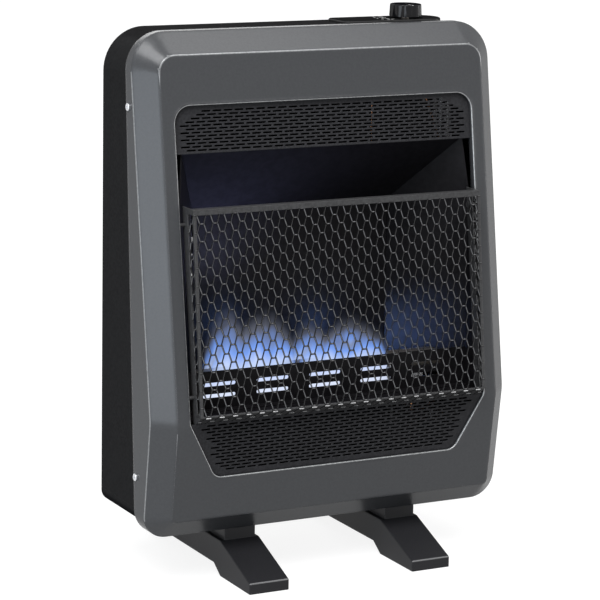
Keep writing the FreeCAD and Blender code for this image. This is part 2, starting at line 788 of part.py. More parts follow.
def clip_to_window(points, left, right, low, high):
    """Part of a polygon that lies in an upright rectangle."""
    for axis, limit, sign in ((0, left, 1), (0, right, -1), (1, low, 1), (1, high, -1)):
        def inside(point):
            return (point[axis] - limit) * sign >= 0

        def crossing(a, b):
            share = (limit - a[axis]) / (b[axis] - a[axis])
            return (a[0] + (b[0] - a[0]) * share, a[1] + (b[1] - a[1]) * share)

        points = clip_polygon(points, inside, crossing)
        if len(points) < 3:
            return []
    return points


def cell_points(x, z):
    """Hexagonal cell with flat bonds at its top and bottom and slanted strands at its sides."""
    rise = CELL_PITCH_Z / 2
    reach = (CELL_PITCH_X - CELL_BOND) / 2
    run = reach - CELL_BOND / 2
    wide = reach - STRAND / 2 * math.hypot(rise, run) / rise
    tall = rise - STRAND / 2
    bond = wide - run * tall / rise
    return [(x - bond, z - tall), (x + bond, z - tall), (x + wide, z),
            (x + bond, z + tall), (x - bond, z + tall), (x - wide, z)]


def polygon_area(points):
    total = 0
    for i in range(len(points)):
        total += points[i - 1][0] * points[i][1] - points[i][0] * points[i - 1][1]
    return abs(total) / 2


def guard_mesh():
    half = GUARD_WIDTH / 2 - SHEET - FIT
    low = GUARD_BOTTOM + SHEET + FIT
    high = GUARD_TOP - SHEET - FIT
    place = leaning(guard_y, SHEET)
    outer = sharp(rectangle(-half, half, low, high), place)
    window_half = GUARD_WIDTH / 2 - GUARD_SIDE_STRIP
    window_low = GUARD_BOTTOM + GUARD_BOTTOM_STRIP
    window_high = GUARD_TOP - GUARD_TOP_STRIP
    columns = math.ceil(window_half / CELL_PITCH_X)
    rows = math.ceil((window_high - window_low) / CELL_PITCH_Z)
    holes = []
    for row in range(2 * rows + 1):
        z = window_low + row * CELL_PITCH_Z / 2
        shift = CELL_PITCH_X / 2 * (row % 2)
        for column in range(-columns - 1, columns + 1):
            cell = cell_points(column * CELL_PITCH_X + shift, z)
            cell = clip_to_window(cell, -window_half, window_half, window_low, window_high)
            if cell and polygon_area(cell) > STRAND * STRAND:
                holes.append(sharp(cell, place))
    return holed_plate(outer, holes, vec(0, MESH_THICKNESS, 0))


def guard_pin_seats():
    """Places where the guard's sides are pinned to the housing lip, with their outward direction."""
    seats = []
    for z in (GUARD_BOTTOM + PIN_EDGE, GUARD_TOP - PIN_EDGE):
        y = face_y(z) + GUARD_RETURN / 2
        for side in (-1, 1):
            seats.append((vec(side * (GUARD_WIDTH / 2 - SHEET), y, z), vec(side, 0, 0)))
    return seats


def guard_pins():
    pins = []
    length = OPENING_WIDTH / 2 - SHEET - FIT - (GUARD_WIDTH / 2 - SHEET)
    for seat, outward in guard_pin_seats():
        head = rod(seat - outward * PIN_HEAD, outward, PIN_HEAD_RADIUS, PIN_HEAD)
        pins.append(head.fuse(rod(seat, outward, PIN_RADIUS, length)).removeSplitter())
    return Part.makeCompound(pins)


# Firebox
def wall_plan(gap):
    """Plan of the right firebox wall's outer line, moved inwards by gap."""
    back = FIREBOX_BACK_WIDTH / 2 - gap
    mouth = FIREBOX_MOUTH_WIDTH / 2 - gap
    return [(back, FIREBOX_BACK_Y), (mouth, FIREBOX_BEND_Y), (mouth, BACK_Y - BODY_REACH)]


def hood_front_y():
    return face_y(GRILLE_BOTTOM) + GRILLE_RECESS + SHEET + GRILLE_LIP + FIT


def below_hood():
    """Space under the hood that the firebox walls may fill."""
    front = BACK_Y - BODY_REACH
    points = [(front, 0), (FIREBOX_BACK_Y, 0), (FIREBOX_BACK_Y, HOOD_BACK_HEIGHT - FIT),
              (hood_front_y(), GRILLE_BOTTOM - FIT), (front, GRILLE_BOTTOM - FIT)]
    return block(points, sideways(-BODY_WIDTH), vec(2 * BODY_WIDTH, 0, 0))


def firebox_wall(side):
    outer = wall_plan(0)
    inner = wall_plan(SHEET)
    points = outer + inner[::-1]
    if side < 0:
        points = [(-x, y) for x, y in points]
    wall = block(points, level(PAN_FLOOR), vec(0, 0, BODY_TOP))
    behind_lip = housing_block(0, OVERRUN + FACE_DEPTH_KINK).translated(vec(0, OPENING_LIP + FIT, 0))
    wall = wall.common(below_hood()).common(behind_lip)
    if side > 0:
        wall = wall.cut(burner_envelope(FIT * 2)).cut(service_opening())
    return wall


def service_opening():
    """Cut in the right wall for the pilot pipe and the two leads, under the floor."""
    half = SERVICE_GAP * 4
    middle_x = between(VALVE_FRONT, FIREBOX_BEND_Y, FIREBOX_BACK_Y, FIREBOX_MOUTH_WIDTH / 2, FIREBOX_BACK_WIDTH / 2)
    low = FLOOR_HEIGHT - SERVICE_GAP * 8
    return box(middle_x - half, middle_x + half, VALVE_FRONT - 2 * half, VALVE_FRONT + half, low,
               FLOOR_HEIGHT - SERVICE_GAP)


def firebox_back():
    half = FIREBOX_BACK_WIDTH / 2 - SHEET - FIT
    return box(-half, half, FIREBOX_BACK_Y - SHEET, FIREBOX_BACK_Y, PAN_FLOOR, HOOD_BACK_HEIGHT - FIT)


def hood_plan():
    right = wall_plan(0)
    points = [right[0], right[1]]
    front = hood_front_y()
    if front > FIREBOX_BEND_Y:
        reach = between(front, FIREBOX_BACK_Y, FIREBOX_BEND_Y, right[0][0], right[1][0])
        points = [right[0], (reach, front)]
    return points + [(-x, y) for x, y in points[::-1]]


def firebox_hood():
    front = hood_front_y()
    profile = [(FIREBOX_BACK_Y, HOOD_BACK_HEIGHT), (FIREBOX_BACK_Y, HOOD_BACK_HEIGHT + SHEET),
               (front, GRILLE_BOTTOM + SHEET), (front, GRILLE_BOTTOM)]
    sheet = block(profile, sideways(-BODY_WIDTH), vec(2 * BODY_WIDTH, 0, 0))
    return sheet.common(block(hood_plan(), level(0), vec(0, 0, BODY_TOP)))


def firebox_floor():
    gap = SHEET + FIT
    right = wall_plan(gap)
    back = FIREBOX_BACK_Y - gap
    back_half = between(back, FIREBOX_BACK_Y, FIREBOX_BEND_Y, right[0][0], right[1][0])
    front = face_y(FLOOR_HEIGHT) + OPENING_LIP + FIT
    points = [(back_half, back), right[1], (right[1][0], front)]
    points = points + [(-x, y) for x, y in points[::-1]]
    plate = block(points, level(FLOOR_HEIGHT), vec(0, 0, SHEET))
    half = PILOT_SHELF_WIDTH / 2
    slot = box(PILOT_X - half, PILOT_X + half, PILOT_Y - SERVICE_GAP, PILOT_Y + SERVICE_GAP,
               FLOOR_HEIGHT - OVERRUN, FLOOR_TOP + OVERRUN)
    return plate.cut(slot)


def burner_shield():
    y = FIREBOX_BEND_Y
    half = FIREBOX_MOUTH_WIDTH / 2 - SHEET - FIT
    place = upright(y)
    outer = sharp(rectangle(-half, half, FLOOR_TOP, SHIELD_TOP), place)
    holes = []
    for i in range(SHIELD_SLOT_PAIRS):
        x = (i - (SHIELD_SLOT_PAIRS - 1) / 2) * SHIELD_SLOT_PITCH
        for z in SHIELD_SLOT_HEIGHTS:
            holes.append(slot_wire(x, z, SHIELD_SLOT_LENGTH, SHIELD_SLOT_WIDTH, place))
    plate = holed_plate(outer, holes, vec(0, -SHEET, 0))
    flange = box(-half, half, y - SHIELD_FLANGE, y, FLOOR_TOP, FLOOR_TOP + SHEET)
    return plate.fuse(flange).removeSplitter()


# Burner
def burner_envelope(gap):
    """Room that the burner tube takes, with a gap all round."""
    base = vec(BURNER_LEFT, BURNER_Y, BURNER_Z)
    return rod(base, RIGHT, BURNER_RADIUS + gap, BURNER_RIGHT + OVERRUN - BURNER_LEFT)


def burner_tube():
    base = vec(BURNER_LEFT, BURNER_Y, BURNER_Z)
    length = BURNER_RIGHT - BURNER_LEFT
    mouth = vec(BURNER_RIGHT, BURNER_Y, BURNER_Z)
    inner_radius = BURNER_RADIUS - BURNER_WALL
    outer = rod(base, RIGHT, BURNER_RADIUS, length)
    outer = outer.fuse(Part.makeCone(BURNER_RADIUS, BURNER_RADIUS + BELL_FLARE, BELL_LENGTH, mouth, RIGHT))
    inner = rod(base + RIGHT * BURNER_WALL, RIGHT, inner_radius, length - BURNER_WALL)
    inner = inner.fuse(Part.makeCone(inner_radius, inner_radius + BELL_FLARE, BELL_LENGTH, mouth, RIGHT))
    solid = outer.cut(inner)
    count = int((PORT_RIGHT - PORT_LEFT) / PORT_PITCH) + 1
    ports = []
    for i in range(count):
        place = vec(PORT_LEFT + i * PORT_PITCH, BURNER_Y, BURNER_Z)
        ports.append(rod(place, UP, PORT_RADIUS, BURNER_RADIUS + OVERRUN))
    return solid.cut(Part.makeCompound(ports))


def burner_saddles():
    saddles = []
    for x in SADDLE_XS:
        half = SADDLE_WIDTH / 2
        plate = box(x, x + SHEET, BURNER_Y - half, BURNER_Y + half, FLOOR_TOP, BURNER_Z)
        foot = box(x, x + SADDLE_FOOT, BURNER_Y - half, BURNER_Y + half, FLOOR_TOP, FLOOR_TOP + SHEET)
        saddles.append(plate.fuse(foot).removeSplitter().cut(burner_envelope(FIT / 2)))
    return Part.makeCompound(saddles)


def injector():
    base = vec(INJECTOR_X - INJECTOR_NOSE, BURNER_Y, BURNER_Z)
    body = rod(base, RIGHT, INJECTOR_RADIUS, INJECTOR_NOSE + INJECTOR_REAR)
    tip = Part.makeCone(INJECTOR_RADIUS, INJECTOR_TIP_RADIUS, INJECTOR_TIP, base, -RIGHT)
    riser = rod(vec(INJECTOR_X, BURNER_Y, BURNER_Z), UP, INJECTOR_RADIUS, INJECTOR_RISE)
    return body.fuse([tip, riser]).removeSplitter()


def injector_bracket():
    x = INJECTOR_X - INJECTOR_NOSE + SHEET
    half = BRACKET_WIDTH / 2
    plate = box(x, x + BRACKET_SHEET, BURNER_Y - half, BURNER_Y + half, PAN_FLOOR, BURNER_Z + BRACKET_RISE)
    foot = box(x, x + BRACKET_FOOT, BURNER_Y - half, BURNER_Y + half, PAN_FLOOR, PAN_FLOOR + BRACKET_SHEET)
    solid = plate.fuse(foot).removeSplitter()
    hole = rod(vec(x - OVERRUN, BURNER_Y, BURNER_Z), RIGHT, INJECTOR_RADIUS + FIT / 2, 2 * OVERRUN)
    return solid.cut(hole)


# Valve, stem and knob
def d_shape(radius, flat, base, height):
    """Round bar along +Z with one flat towards +X."""
    bar = rod(base, UP, radius, height)
    cut = box(base.x + flat, base.x + 2 * radius, base.y - radius, base.y + radius, base.z, base.z + height)
    return bar.cut(cut)


def knob_point(z):
    return vec(KNOB_X, KNOB_Y, z)


def valve_body():
    solid = box(VALVE_LEFT, VALVE_RIGHT, VALVE_FRONT, VALVE_REAR, VALVE_BOTTOM, VALVE_TOP)
    solid = solid.makeFillet(VALVE_EDGE, upright_edges(solid))
    solid = solid.fuse(rod(knob_point(VALVE_TOP), UP, BONNET_RADIUS, BONNET_TOP - VALVE_TOP)).removeSplitter()
    return solid.cut(rod(knob_point(PLUG_BOTTOM - FIT), UP, PLUG_RADIUS + RUNNING, BONNET_TOP))


def valve_plug():
    solid = rod(knob_point(PLUG_BOTTOM), UP, PLUG_RADIUS, BONNET_TOP - PLUG_BOTTOM)
    depth = STEM_BOTTOM - KNOB_PUSH - FIT
    return solid.cut(d_shape(STEM_RADIUS + RUNNING, STEM_FLAT + RUNNING, knob_point(depth), BONNET_TOP))


def valve_stem():
    solid = d_shape(STEM_RADIUS, STEM_FLAT, knob_point(STEM_BOTTOM), STEM_TOP - STEM_BOTTOM)
    collar = rod(knob_point(COLLAR_TOP - COLLAR_HEIGHT), UP, COLLAR_RADIUS, COLLAR_HEIGHT)
    return solid.fuse(collar).removeSplitter()


def stem_spring():
    """Coil between the plug's top and the stem's collar, one arc for each quarter turn."""
    low = BONNET_TOP + SPRING_WIRE / 2
    high = COLLAR_TOP - COLLAR_HEIGHT - SPRING_WIRE / 2 - FIT

    def on_coil(turn):
        angle = 2 * math.pi * turn
        height = between(turn, 0, SPRING_TURNS, low, high)
        return knob_point(height) + vec(SPRING_RADIUS * math.cos(angle), SPRING_RADIUS * math.sin(angle), 0)

    edges = []
    quarters = 4 * SPRING_TURNS
    for i in range(quarters):
        points = [on_coil(SPRING_TURNS * (i + part) / quarters) for part in (0, 0.5, 1)]
        edges.append(Part.Arc(*points).toShape())
    path = Part.Wire(edges)
    section = Part.Wire(Part.makeCircle(SPRING_WIRE / 2, on_coil(0), edges[0].tangentAt(edges[0].FirstParameter)))
    return path.makePipeShell([section], True, False)


def control_knob():
    height = KNOB_TOP - KNOB_BOTTOM
    solid = Part.makeCone(KNOB_RADIUS, KNOB_RADIUS * KNOB_TAPER_SHARE, height, knob_point(KNOB_BOTTOM), UP)
    solid = solid.makeFillet(KNOB_EDGE, [outer_rim(solid, knob_point(KNOB_TOP))])
    flutes = []
    for i in range(KNOB_FLUTES):
        angle = 2 * math.pi * (i + 0.5) / KNOB_FLUTES
        reach = KNOB_RADIUS + KNOB_FLUTE_RADIUS - KNOB_FLUTE_DEPTH
        base = knob_point(KNOB_BOTTOM - OVERRUN) + vec(reach * math.cos(angle), reach * math.sin(angle), 0)
        flutes.append(rod(base, UP, KNOB_FLUTE_RADIUS, height + 2 * OVERRUN))
    solid = solid.cut(Part.makeCompound(flutes))
    pointer = box(KNOB_X - POINTER_WIDTH / 2, KNOB_X + POINTER_WIDTH / 2, KNOB_Y - KNOB_RADIUS, KNOB_Y,
                  KNOB_TOP - POINTER_DEPTH, KNOB_TOP + OVERRUN)
    solid = solid.cut(pointer)
    bore = d_shape(STEM_RADIUS + RUNNING, STEM_FLAT + RUNNING, knob_point(KNOB_BOTTOM - OVERRUN),
                   STEM_TOP + RUNNING - KNOB_BOTTOM + OVERRUN)
    return solid.cut(bore)


def valve_bracket():
    shelf = box(VALVE_LEFT, VALVE_RIGHT, VALVE_FRONT, PANEL_INNER_Y, VALVE_BOTTOM - SHEET, VALVE_BOTTOM)
    back = box(VALVE_LEFT, VALVE_RIGHT, PANEL_INNER_Y - SHEET, PANEL_INNER_Y, VALVE_BOTTOM - SHEET, VALVE_TOP)
    return shelf.fuse(back).removeSplitter()


def piezo_igniter():
    left = VALVE_LEFT - PIEZO_WIDTH
    solid = box(left, VALVE_LEFT, KNOB_Y - PIEZO_DEPTH / 2, KNOB_Y + PIEZO_DEPTH / 2, PIEZO_BOTTOM, PIEZO_TOP)
    return solid.makeFillet(VALVE_EDGE, upright_edges(solid))


def control_panel():
    outline = rectangle(PANEL_LEFT, PANEL_RIGHT, PANEL_FRONT, PANEL_BACK)
    radii = [PANEL_CORNER, PANEL_END_RADIUS, PANEL_END_RADIUS, PANEL_CORNER]
    solid = slab(outline, radii, level(CABINET_TOP), vec(0, 0, PANEL_HEIGHT))
    top = [edge for edge in solid.Edges if edge.BoundBox.ZMin > CABINET_TOP + PANEL_HEIGHT / 2]
    solid = solid.makeFillet(PANEL_EDGE, top)
    return solid.cut(rod(knob_point(CABINET_TOP - OVERRUN), UP, KNOB_RADIUS + PANEL_WELL_GAP, BODY_TOP))


# Feet
def foot_screw_seats():
    return [vec(side * FOOT_SPACING / 2, y, PAN_FLOOR) for y in FOOT_SCREW_YS for side in (-1, 1)]


def foot(side):
    toe = FOOT_LENGTH / 2
    neck_rear = BACK_Y - NECK_REAR_INSET
    profile = [
        (-toe, 0), (-toe + FOOT_PAD, 0), (-toe + FOOT_PAD + FOOT_STEP, FOOT_ARCH),
        (toe - FOOT_REAR_PAD - FOOT_STEP, FOOT_ARCH), (toe - FOOT_REAR_PAD, 0), (toe, 0),
        (toe, FOOT_TOE), (neck_rear, FOOT_SHOULDER), (NECK_FRONT, FOOT_SHOULDER), (-toe, FOOT_TOE),
    ]
    middle = side * FOOT_SPACING / 2
    base = block(profile, sideways(middle - FOOT_WIDTH / 2), vec(FOOT_WIDTH, 0, 0))
    crest = [edge for edge in base.Edges if edge.BoundBox.ZMax > FOOT_ARCH + FIT]
    base = base.makeFillet(FOOT_EDGE, crest)
    half = NECK_WIDTH / 2
    step = flange_y(HOUSING_BOTTOM) + FIT + SHEET
    front = box(middle - half, middle + half, NECK_FRONT, neck_rear, FOOT_ARCH + SHEET, HOUSING_BOTTOM - FIT)
    rear = box(middle - half, middle + half, step, neck_rear, FOOT_ARCH + SHEET, PAN_BOTTOM)
    solid = base.fuse([front, rear]).removeSplitter()
    for seat in foot_screw_seats():
        solid = solid.cut(rod(seat, -UP, SCREW_RADIUS + RUNNING, FOOT_SCREW_LENGTH + FIT))
    return solid


def foot_screws():
    return Part.makeCompound([screw(seat, -UP, FOOT_SCREW_LENGTH) for seat in foot_screw_seats()])


# Regulator and gas inlet
def regulator_point(z):
    return vec(REGULATOR_X, REGULATOR_Y, z)


def regulator_body():
    solid = rod(regulator_point(REGULATOR_BOTTOM), UP, REGULATOR_RADIUS, REGULATOR_TOP - REGULATOR_BOTTOM)
    middle = (REGULATOR_BOTTOM + REGULATOR_TOP) / 2
    rib = rod(regulator_point(middle - REGULATOR_RIB), UP, REGULATOR_RADIUS + REGULATOR_RIB, 2 * REGULATOR_RIB)
    outlet = rod(regulator_point(REGULATOR_TOP), UP, OUTLET_RADIUS, OUTLET_TOP - REGULATOR_TOP)
    boss = rod(vec(REGULATOR_X, REGULATOR_Y, INLET_Z), REARWARD, INLET_RADIUS, inlet_front() - REGULATOR_Y)
    return solid.fuse([rib, outlet, boss]).removeSplitter()


def inlet_front():
    return PANEL_INNER_Y - INLET_FLANGE


def regulator_cap():
    base = regulator_point(CAP_BOTTOM)
    solid = rod(base, UP, CAP_RADIUS, REGULATOR_BOTTOM - CAP_BOTTOM)
    slot = box(REGULATOR_X - CAP_RADIUS, REGULATOR_X + CAP_RADIUS, REGULATOR_Y - CAP_SLOT / 2,
               REGULATOR_Y + CAP_SLOT / 2, CAP_BOTTOM, CAP_BOTTOM + CAP_SLOT)
    return solid.cut(slot)


def inlet_fitting():
    front = vec(REGULATOR_X, inlet_front(), INLET_Z)
    flange = hexagon(front, REARWARD, 2 * INLET_FLANGE_RADIUS).extrude(REARWARD * INLET_FLANGE)
    length = BACK_Y + INLET_STANDOUT - inlet_front()
    solid = flange.fuse(rod(front, REARWARD, INLET_RADIUS, length)).removeSplitter()
    mouth = front + REARWARD * length
    return solid.cut(rod(mouth, -REARWARD, INLET_BORE, INLET_THREAD_LENGTH))


# Pipes and leads
def supply_pipe():
    points = [regulator_point(OUTLET_TOP), regulator_point(SUPPLY_PORT_Z), vec(VALVE_RIGHT, KNOB_Y, SUPPLY_PORT_Z)]
    return pipe(points, PIPE_RADIUS, PIPE_BEND)


def burner_pipe():
    points = [
        vec(VALVE_RIGHT, BURNER_PORT_Y, BURNER_PORT_Z),
        vec(REGULATOR_X, BURNER_PORT_Y, BURNER_PORT_Z),
        vec(REGULATOR_X, BURNER_PORT_Y, BURNER_JOG_TOP),
        vec(INJECTOR_X, BURNER_Y, BURNER_JOG_BOTTOM),
        vec(INJECTOR_X, BURNER_Y, INJECTOR_TOP),
    ]
    return pipe(points, PIPE_RADIUS, PIPE_BEND)


def pipe_nuts():
    bore = PIPE_RADIUS + FIT / 2
    seats = [
        (regulator_point(OUTLET_TOP), UP),
        (vec(VALVE_RIGHT, KNOB_Y, SUPPLY_PORT_Z), RIGHT),
        (vec(VALVE_RIGHT, BURNER_PORT_Y, BURNER_PORT_Z), RIGHT),
        (vec(INJECTOR_X, BURNER_Y, INJECTOR_TOP), UP),
    ]
    return Part.makeCompound([nut(base, direction, bore) for base, direction in seats])


def service_route(start, column_x, column_y, drop, low, end):
    """Route from the valve's front down beside the firebox and up to the pilot."""
    return [
        start,
        vec(start.x, column_y - drop, start.z),
        vec(column_x, column_y, start.z - 3 * drop),
        vec(column_x, column_y, low),
        vec(end.x, end.y, low),
        end,
    ]


def pilot_pipe():
    start = vec(KNOB_X + PILOT_SPACING, VALVE_FRONT, SUPPLY_PORT_Z)
    end = vec(PILOT_X, PILOT_Y, PILOT_BASE)
    column_x = REGULATOR_X - 3 * SERVICE_GAP
    low = FLOOR_HEIGHT - 3 * SERVICE_GAP
    return pipe(service_route(start, column_x, VALVE_FRONT, 2 * PILOT_SPACING, low, end),
                PILOT_PIPE_RADIUS, PILOT_BEND)


def thermocouple_lead():
    start = vec(KNOB_X, VALVE_FRONT, VALVE_BOTTOM + LEAD_BEND)
    end = vec(PILOT_X + PILOT_SPACING, PILOT_Y, PILOT_BASE)
    column_x = REGULATOR_X - SERVICE_GAP - LEAD_RADIUS
    low = FLOOR_HEIGHT - 5 * SERVICE_GAP
    return pipe(service_route(start, column_x, VALVE_FRONT - LEAD_RADIUS, 2 * PILOT_SPACING, low, end),
                LEAD_RADIUS, LEAD_BEND)


def ignition_lead():
    start = vec(VALVE_LEFT - PIEZO_WIDTH / 2, KNOB_Y - PIEZO_DEPTH / 2, PIEZO_BOTTOM + PILOT_SPACING)
    end = vec(PILOT_X - PILOT_SPACING, PILOT_Y, PILOT_BASE)
    column_x = REGULATOR_X - 5 * SERVICE_GAP
    low = FLOOR_HEIGHT - 7 * SERVICE_GAP
    return pipe(service_route(start, column_x, VALVE_FRONT + SERVICE_GAP, 3 * PILOT_SPACING, low, end),
                IGNITION_RADIUS, LEAD_BEND)


def thermostat_bulb():
    solid = rod(vec(BULB_LEFT, BULB_Y, BULB_Z), RIGHT, BULB_RADIUS, BULB_RIGHT - BULB_LEFT)
    return solid.makeFillet(BULB_RADIUS / 2, [outer_rim(solid, vec(BULB_LEFT, BULB_Y, BULB_Z))])


def capillary():
    column_x = BULB_RIGHT + 2 * CAPILLARY_BEND
    points = [
        vec(VALVE_LEFT - CAPILLARY_RADIUS, BULB_Y, VALVE_BOTTOM + CAPILLARY_BEND),
        vec(column_x, BULB_Y, VALVE_BOTTOM - CAPILLARY_BEND),
        vec(column_x, BULB_Y, BULB_Z),
        vec(BULB_RIGHT, BULB_Y, BULB_Z),
    ]
    return pipe(points, CAPILLARY_RADIUS, CAPILLARY_BEND / 2)


def bulb_clips():
    clips = []
    for x in (BULB_LEFT + CLIP_INSET, BULB_RIGHT - CLIP_INSET - CLIP_WIDTH):
        centre = vec(x, BULB_Y, BULB_Z)
        ring = rod(centre, RIGHT, BULB_RADIUS + FIT / 2 + CLIP_WALL, CLIP_WIDTH)
        leg = box(x, x + CLIP_WIDTH, BULB_Y, PANEL_INNER_Y, BULB_Z - BULB_RADIUS, BULB_Z - BULB_RADIUS + CLIP_WALL)
        clip = ring.fuse(leg).removeSplitter()
        clips.append(clip.cut(rod(centre - RIGHT * OVERRUN, RIGHT, BULB_RADIUS + FIT / 2, CLIP_WIDTH + 2 * OVERRUN)))
    return Part.makeCompound(clips)


# Pilot
def pilot_xs():
    return (PILOT_X - PILOT_SPACING, PILOT_X, PILOT_X + PILOT_SPACING)


def pilot_bracket():
    half = PILOT_SHELF_WIDTH / 2
    front = FIREBOX_BEND_Y + FIT
    plate = box(PILOT_X - half, PILOT_X + half, front, front + SHEET, FLOOR_TOP, PILOT_SHELF + SHEET)
    shelf = box(PILOT_X - half, PILOT_X + half, front, PILOT_Y + PILOT_SHELF_DEPTH / 2, PILOT_SHELF,
                PILOT_SHELF + SHEET)
    solid = plate.fuse(shelf).removeSplitter()
    for x, radius in zip(pilot_xs(), (ELECTRODE_RADIUS, PILOT_BURNER_RADIUS, THERMOCOUPLE_RADIUS)):
        solid = solid.cut(rod(vec(x, PILOT_Y, PILOT_SHELF - OVERRUN / 2), UP, radius + FIT / 2, OVERRUN))
    return solid


def pilot_burner():
    base = vec(PILOT_X, PILOT_Y, PILOT_BASE)
    solid = rod(base, UP, PILOT_BURNER_RADIUS, PILOT_BURNER_TOP - PILOT_BASE)
    slot = box(PILOT_X - PILOT_BURNER_RADIUS, PILOT_X + PILOT_BURNER_RADIUS, PILOT_Y - PILOT_SLOT / 2,
               PILOT_Y + PILOT_SLOT / 2, PILOT_BURNER_TOP - PILOT_BURNER_RADIUS, PILOT_BURNER_TOP - PILOT_SLOT)
    return solid.cut(slot)


def thermocouple():
    base = vec(PILOT_X + PILOT_SPACING, PILOT_Y, PILOT_BASE)
    top = THERMOCOUPLE_TOP - THERMOCOUPLE_RADIUS
    solid = rod(base, UP, THERMOCOUPLE_RADIUS, top - PILOT_BASE)
    return solid.fuse(Part.makeSphere(THERMOCOUPLE_RADIUS, vec(base.x, base.y, top))).removeSplitter()


def spark_electrode():
    base = vec(PILOT_X - PILOT_SPACING, PILOT_Y, PILOT_BASE)
    solid = rod(base, UP, ELECTRODE_RADIUS, ELECTRODE_TOP - PILOT_BASE)
    tip = rod(vec(base.x, base.y, ELECTRODE_TOP), UP, ELECTRODE_TIP_RADIUS, ELECTRODE_TIP_TOP - ELECTRODE_TOP)
    return solid.fuse(tip).removeSplitter()


NODES = {
    "front_housing": front_housing,
    "housing_screws": housing_screws,
    "cabinet_wrap": cabinet_wrap,
    "back_panel": back_panel,
    "back_screws": back_screws,
    "bottom_pan": bottom_pan,
    "upper_grille": upper_grille,
    "lower_grille": lower_grille,
    "guard_frame": guard_frame,
    "guard_mesh": guard_mesh,
    "guard_pins": guard_pins,
    "firebox_back": firebox_back,
    "firebox_left_wall": lambda: firebox_wall(-1),
    "firebox_right_wall": lambda: firebox_wall(1),
    "firebox_hood": firebox_hood,
    "firebox_floor": firebox_floor,
    "burner_shield": burner_shield,
    "burner_tube": burner_tube,
    "burner_saddles": burner_saddles,
    "injector": injector,
    "injector_bracket": injector_bracket,
    "valve_body": valve_body,
    "valve_plug": valve_plug,
    "valve_stem": valve_stem,
    "stem_spring": stem_spring,
    "valve_bracket": valve_bracket,
    "control_knob": control_knob,
    "control_panel": control_panel,
    "piezo_igniter": piezo_igniter,
    "left_foot": lambda: foot(-1),
    "right_foot": lambda: foot(1),
    "foot_screws": foot_screws,
    "regulator_body": regulator_body,
    "regulator_cap": regulator_cap,
    "inlet_fitting": inlet_fitting,
    "supply_pipe": supply_pipe,
    "burner_pipe": burner_pipe,
    "pipe_nuts": pipe_nuts,
    "pilot_pipe": pilot_pipe,
    "thermocouple_lead": thermocouple_lead,
    "ignition_lead": ignition_lead,
    "thermostat_bulb": thermostat_bulb,
    "capillary": capillary,
    "bulb_clips": bulb_clips,
    "pilot_bracket": pilot_bracket,
    "pilot_burner": pilot_burner,
    "thermocouple": thermocouple,
    "spark_electrode": spark_electrode,
}


def main():
    os.makedirs("parts", exist_ok=True)
    for name, make in NODES.items():
        shape = make()
        shape.exportStep(os.path.join("parts", name + ".step"))
        print(name, len(shape.Solids), "solids", round(shape.Volume), "mm3", "valid", shape.isValid())


main()
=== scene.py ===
import json
import logging
import math
from contextlib import contextmanager
from dataclasses import dataclass, field
from enum import Enum
from typing import Any, Callable, Iterator

import bmesh
import bpy
from mathutils import Matrix, Vector


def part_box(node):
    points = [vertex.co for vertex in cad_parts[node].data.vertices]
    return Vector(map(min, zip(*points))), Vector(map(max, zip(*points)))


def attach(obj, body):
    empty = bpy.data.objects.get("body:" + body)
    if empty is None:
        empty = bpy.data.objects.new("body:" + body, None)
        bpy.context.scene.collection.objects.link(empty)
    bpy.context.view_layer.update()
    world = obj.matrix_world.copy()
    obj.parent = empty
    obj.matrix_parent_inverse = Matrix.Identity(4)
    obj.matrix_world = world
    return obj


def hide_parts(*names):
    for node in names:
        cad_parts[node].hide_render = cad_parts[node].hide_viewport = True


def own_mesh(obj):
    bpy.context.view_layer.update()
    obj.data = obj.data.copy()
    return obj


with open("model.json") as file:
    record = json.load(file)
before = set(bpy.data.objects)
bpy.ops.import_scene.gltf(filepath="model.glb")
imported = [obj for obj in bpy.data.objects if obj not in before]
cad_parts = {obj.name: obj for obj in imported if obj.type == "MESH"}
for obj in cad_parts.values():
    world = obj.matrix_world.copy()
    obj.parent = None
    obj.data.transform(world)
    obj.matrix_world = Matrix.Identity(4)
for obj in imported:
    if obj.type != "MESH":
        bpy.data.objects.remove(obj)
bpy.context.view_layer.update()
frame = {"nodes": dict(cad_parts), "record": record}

MM = 0.001
QUARTER_TURN = math.pi / 2.0
WHITE = (1.0, 1.0, 1.0)
CENTRE = (0.0, 0.0, 0.0)
LOG = logging.getLogger("heater")

Colour = tuple[float, float, float]
Point = tuple[float, float, float]
Piece = bpy.types.Object
Material = bpy.types.Material
Socket = bpy.types.NodeSocket


class Grain(Enum):
    """Fine surface of a finish: feature counts per metre along X, Y and Z."""

    PEEL = (420.0, 420.0, 420.0)
    MOULDED = (1500.0, 1500.0, 1500.0)
    BRUSHED = (60.0, 900.0, 900.0)
    CAST = (800.0, 800.0, 800.0)
    GLAZED = (160.0, 160.0, 160.0)


class Body(Enum):
    """Moving bodies of the heater."""

    HEATER = "heater"
    PLUG = "plug"
    KNOB = "knob"


# Working helpers

def deselect() -> None:
    """Clear the selection."""
    bpy.ops.object.select_all(action="DESELECT")


def activate(piece: Piece) -> None:
    """Make one piece the only selected and the active one.

    Args:
        piece: the piece.
    """
    deselect()
    piece.select_set(True)
    bpy.context.view_layer.objects.active = piece


@contextmanager
def editing(piece: Piece) -> Iterator[None]:
    """Open one piece in edit mode with all of it selected, and close it after the work.

    Args:
        piece: the piece.

    Returns:
        The time in which the piece is open.
    """
    activate(piece)
    bpy.ops.object.mode_set(mode="EDIT")
    bpy.ops.mesh.select_mode(type="VERT")
    bpy.ops.mesh.select_all(action="SELECT")
    yield
    bpy.ops.object.mode_set(mode="OBJECT")


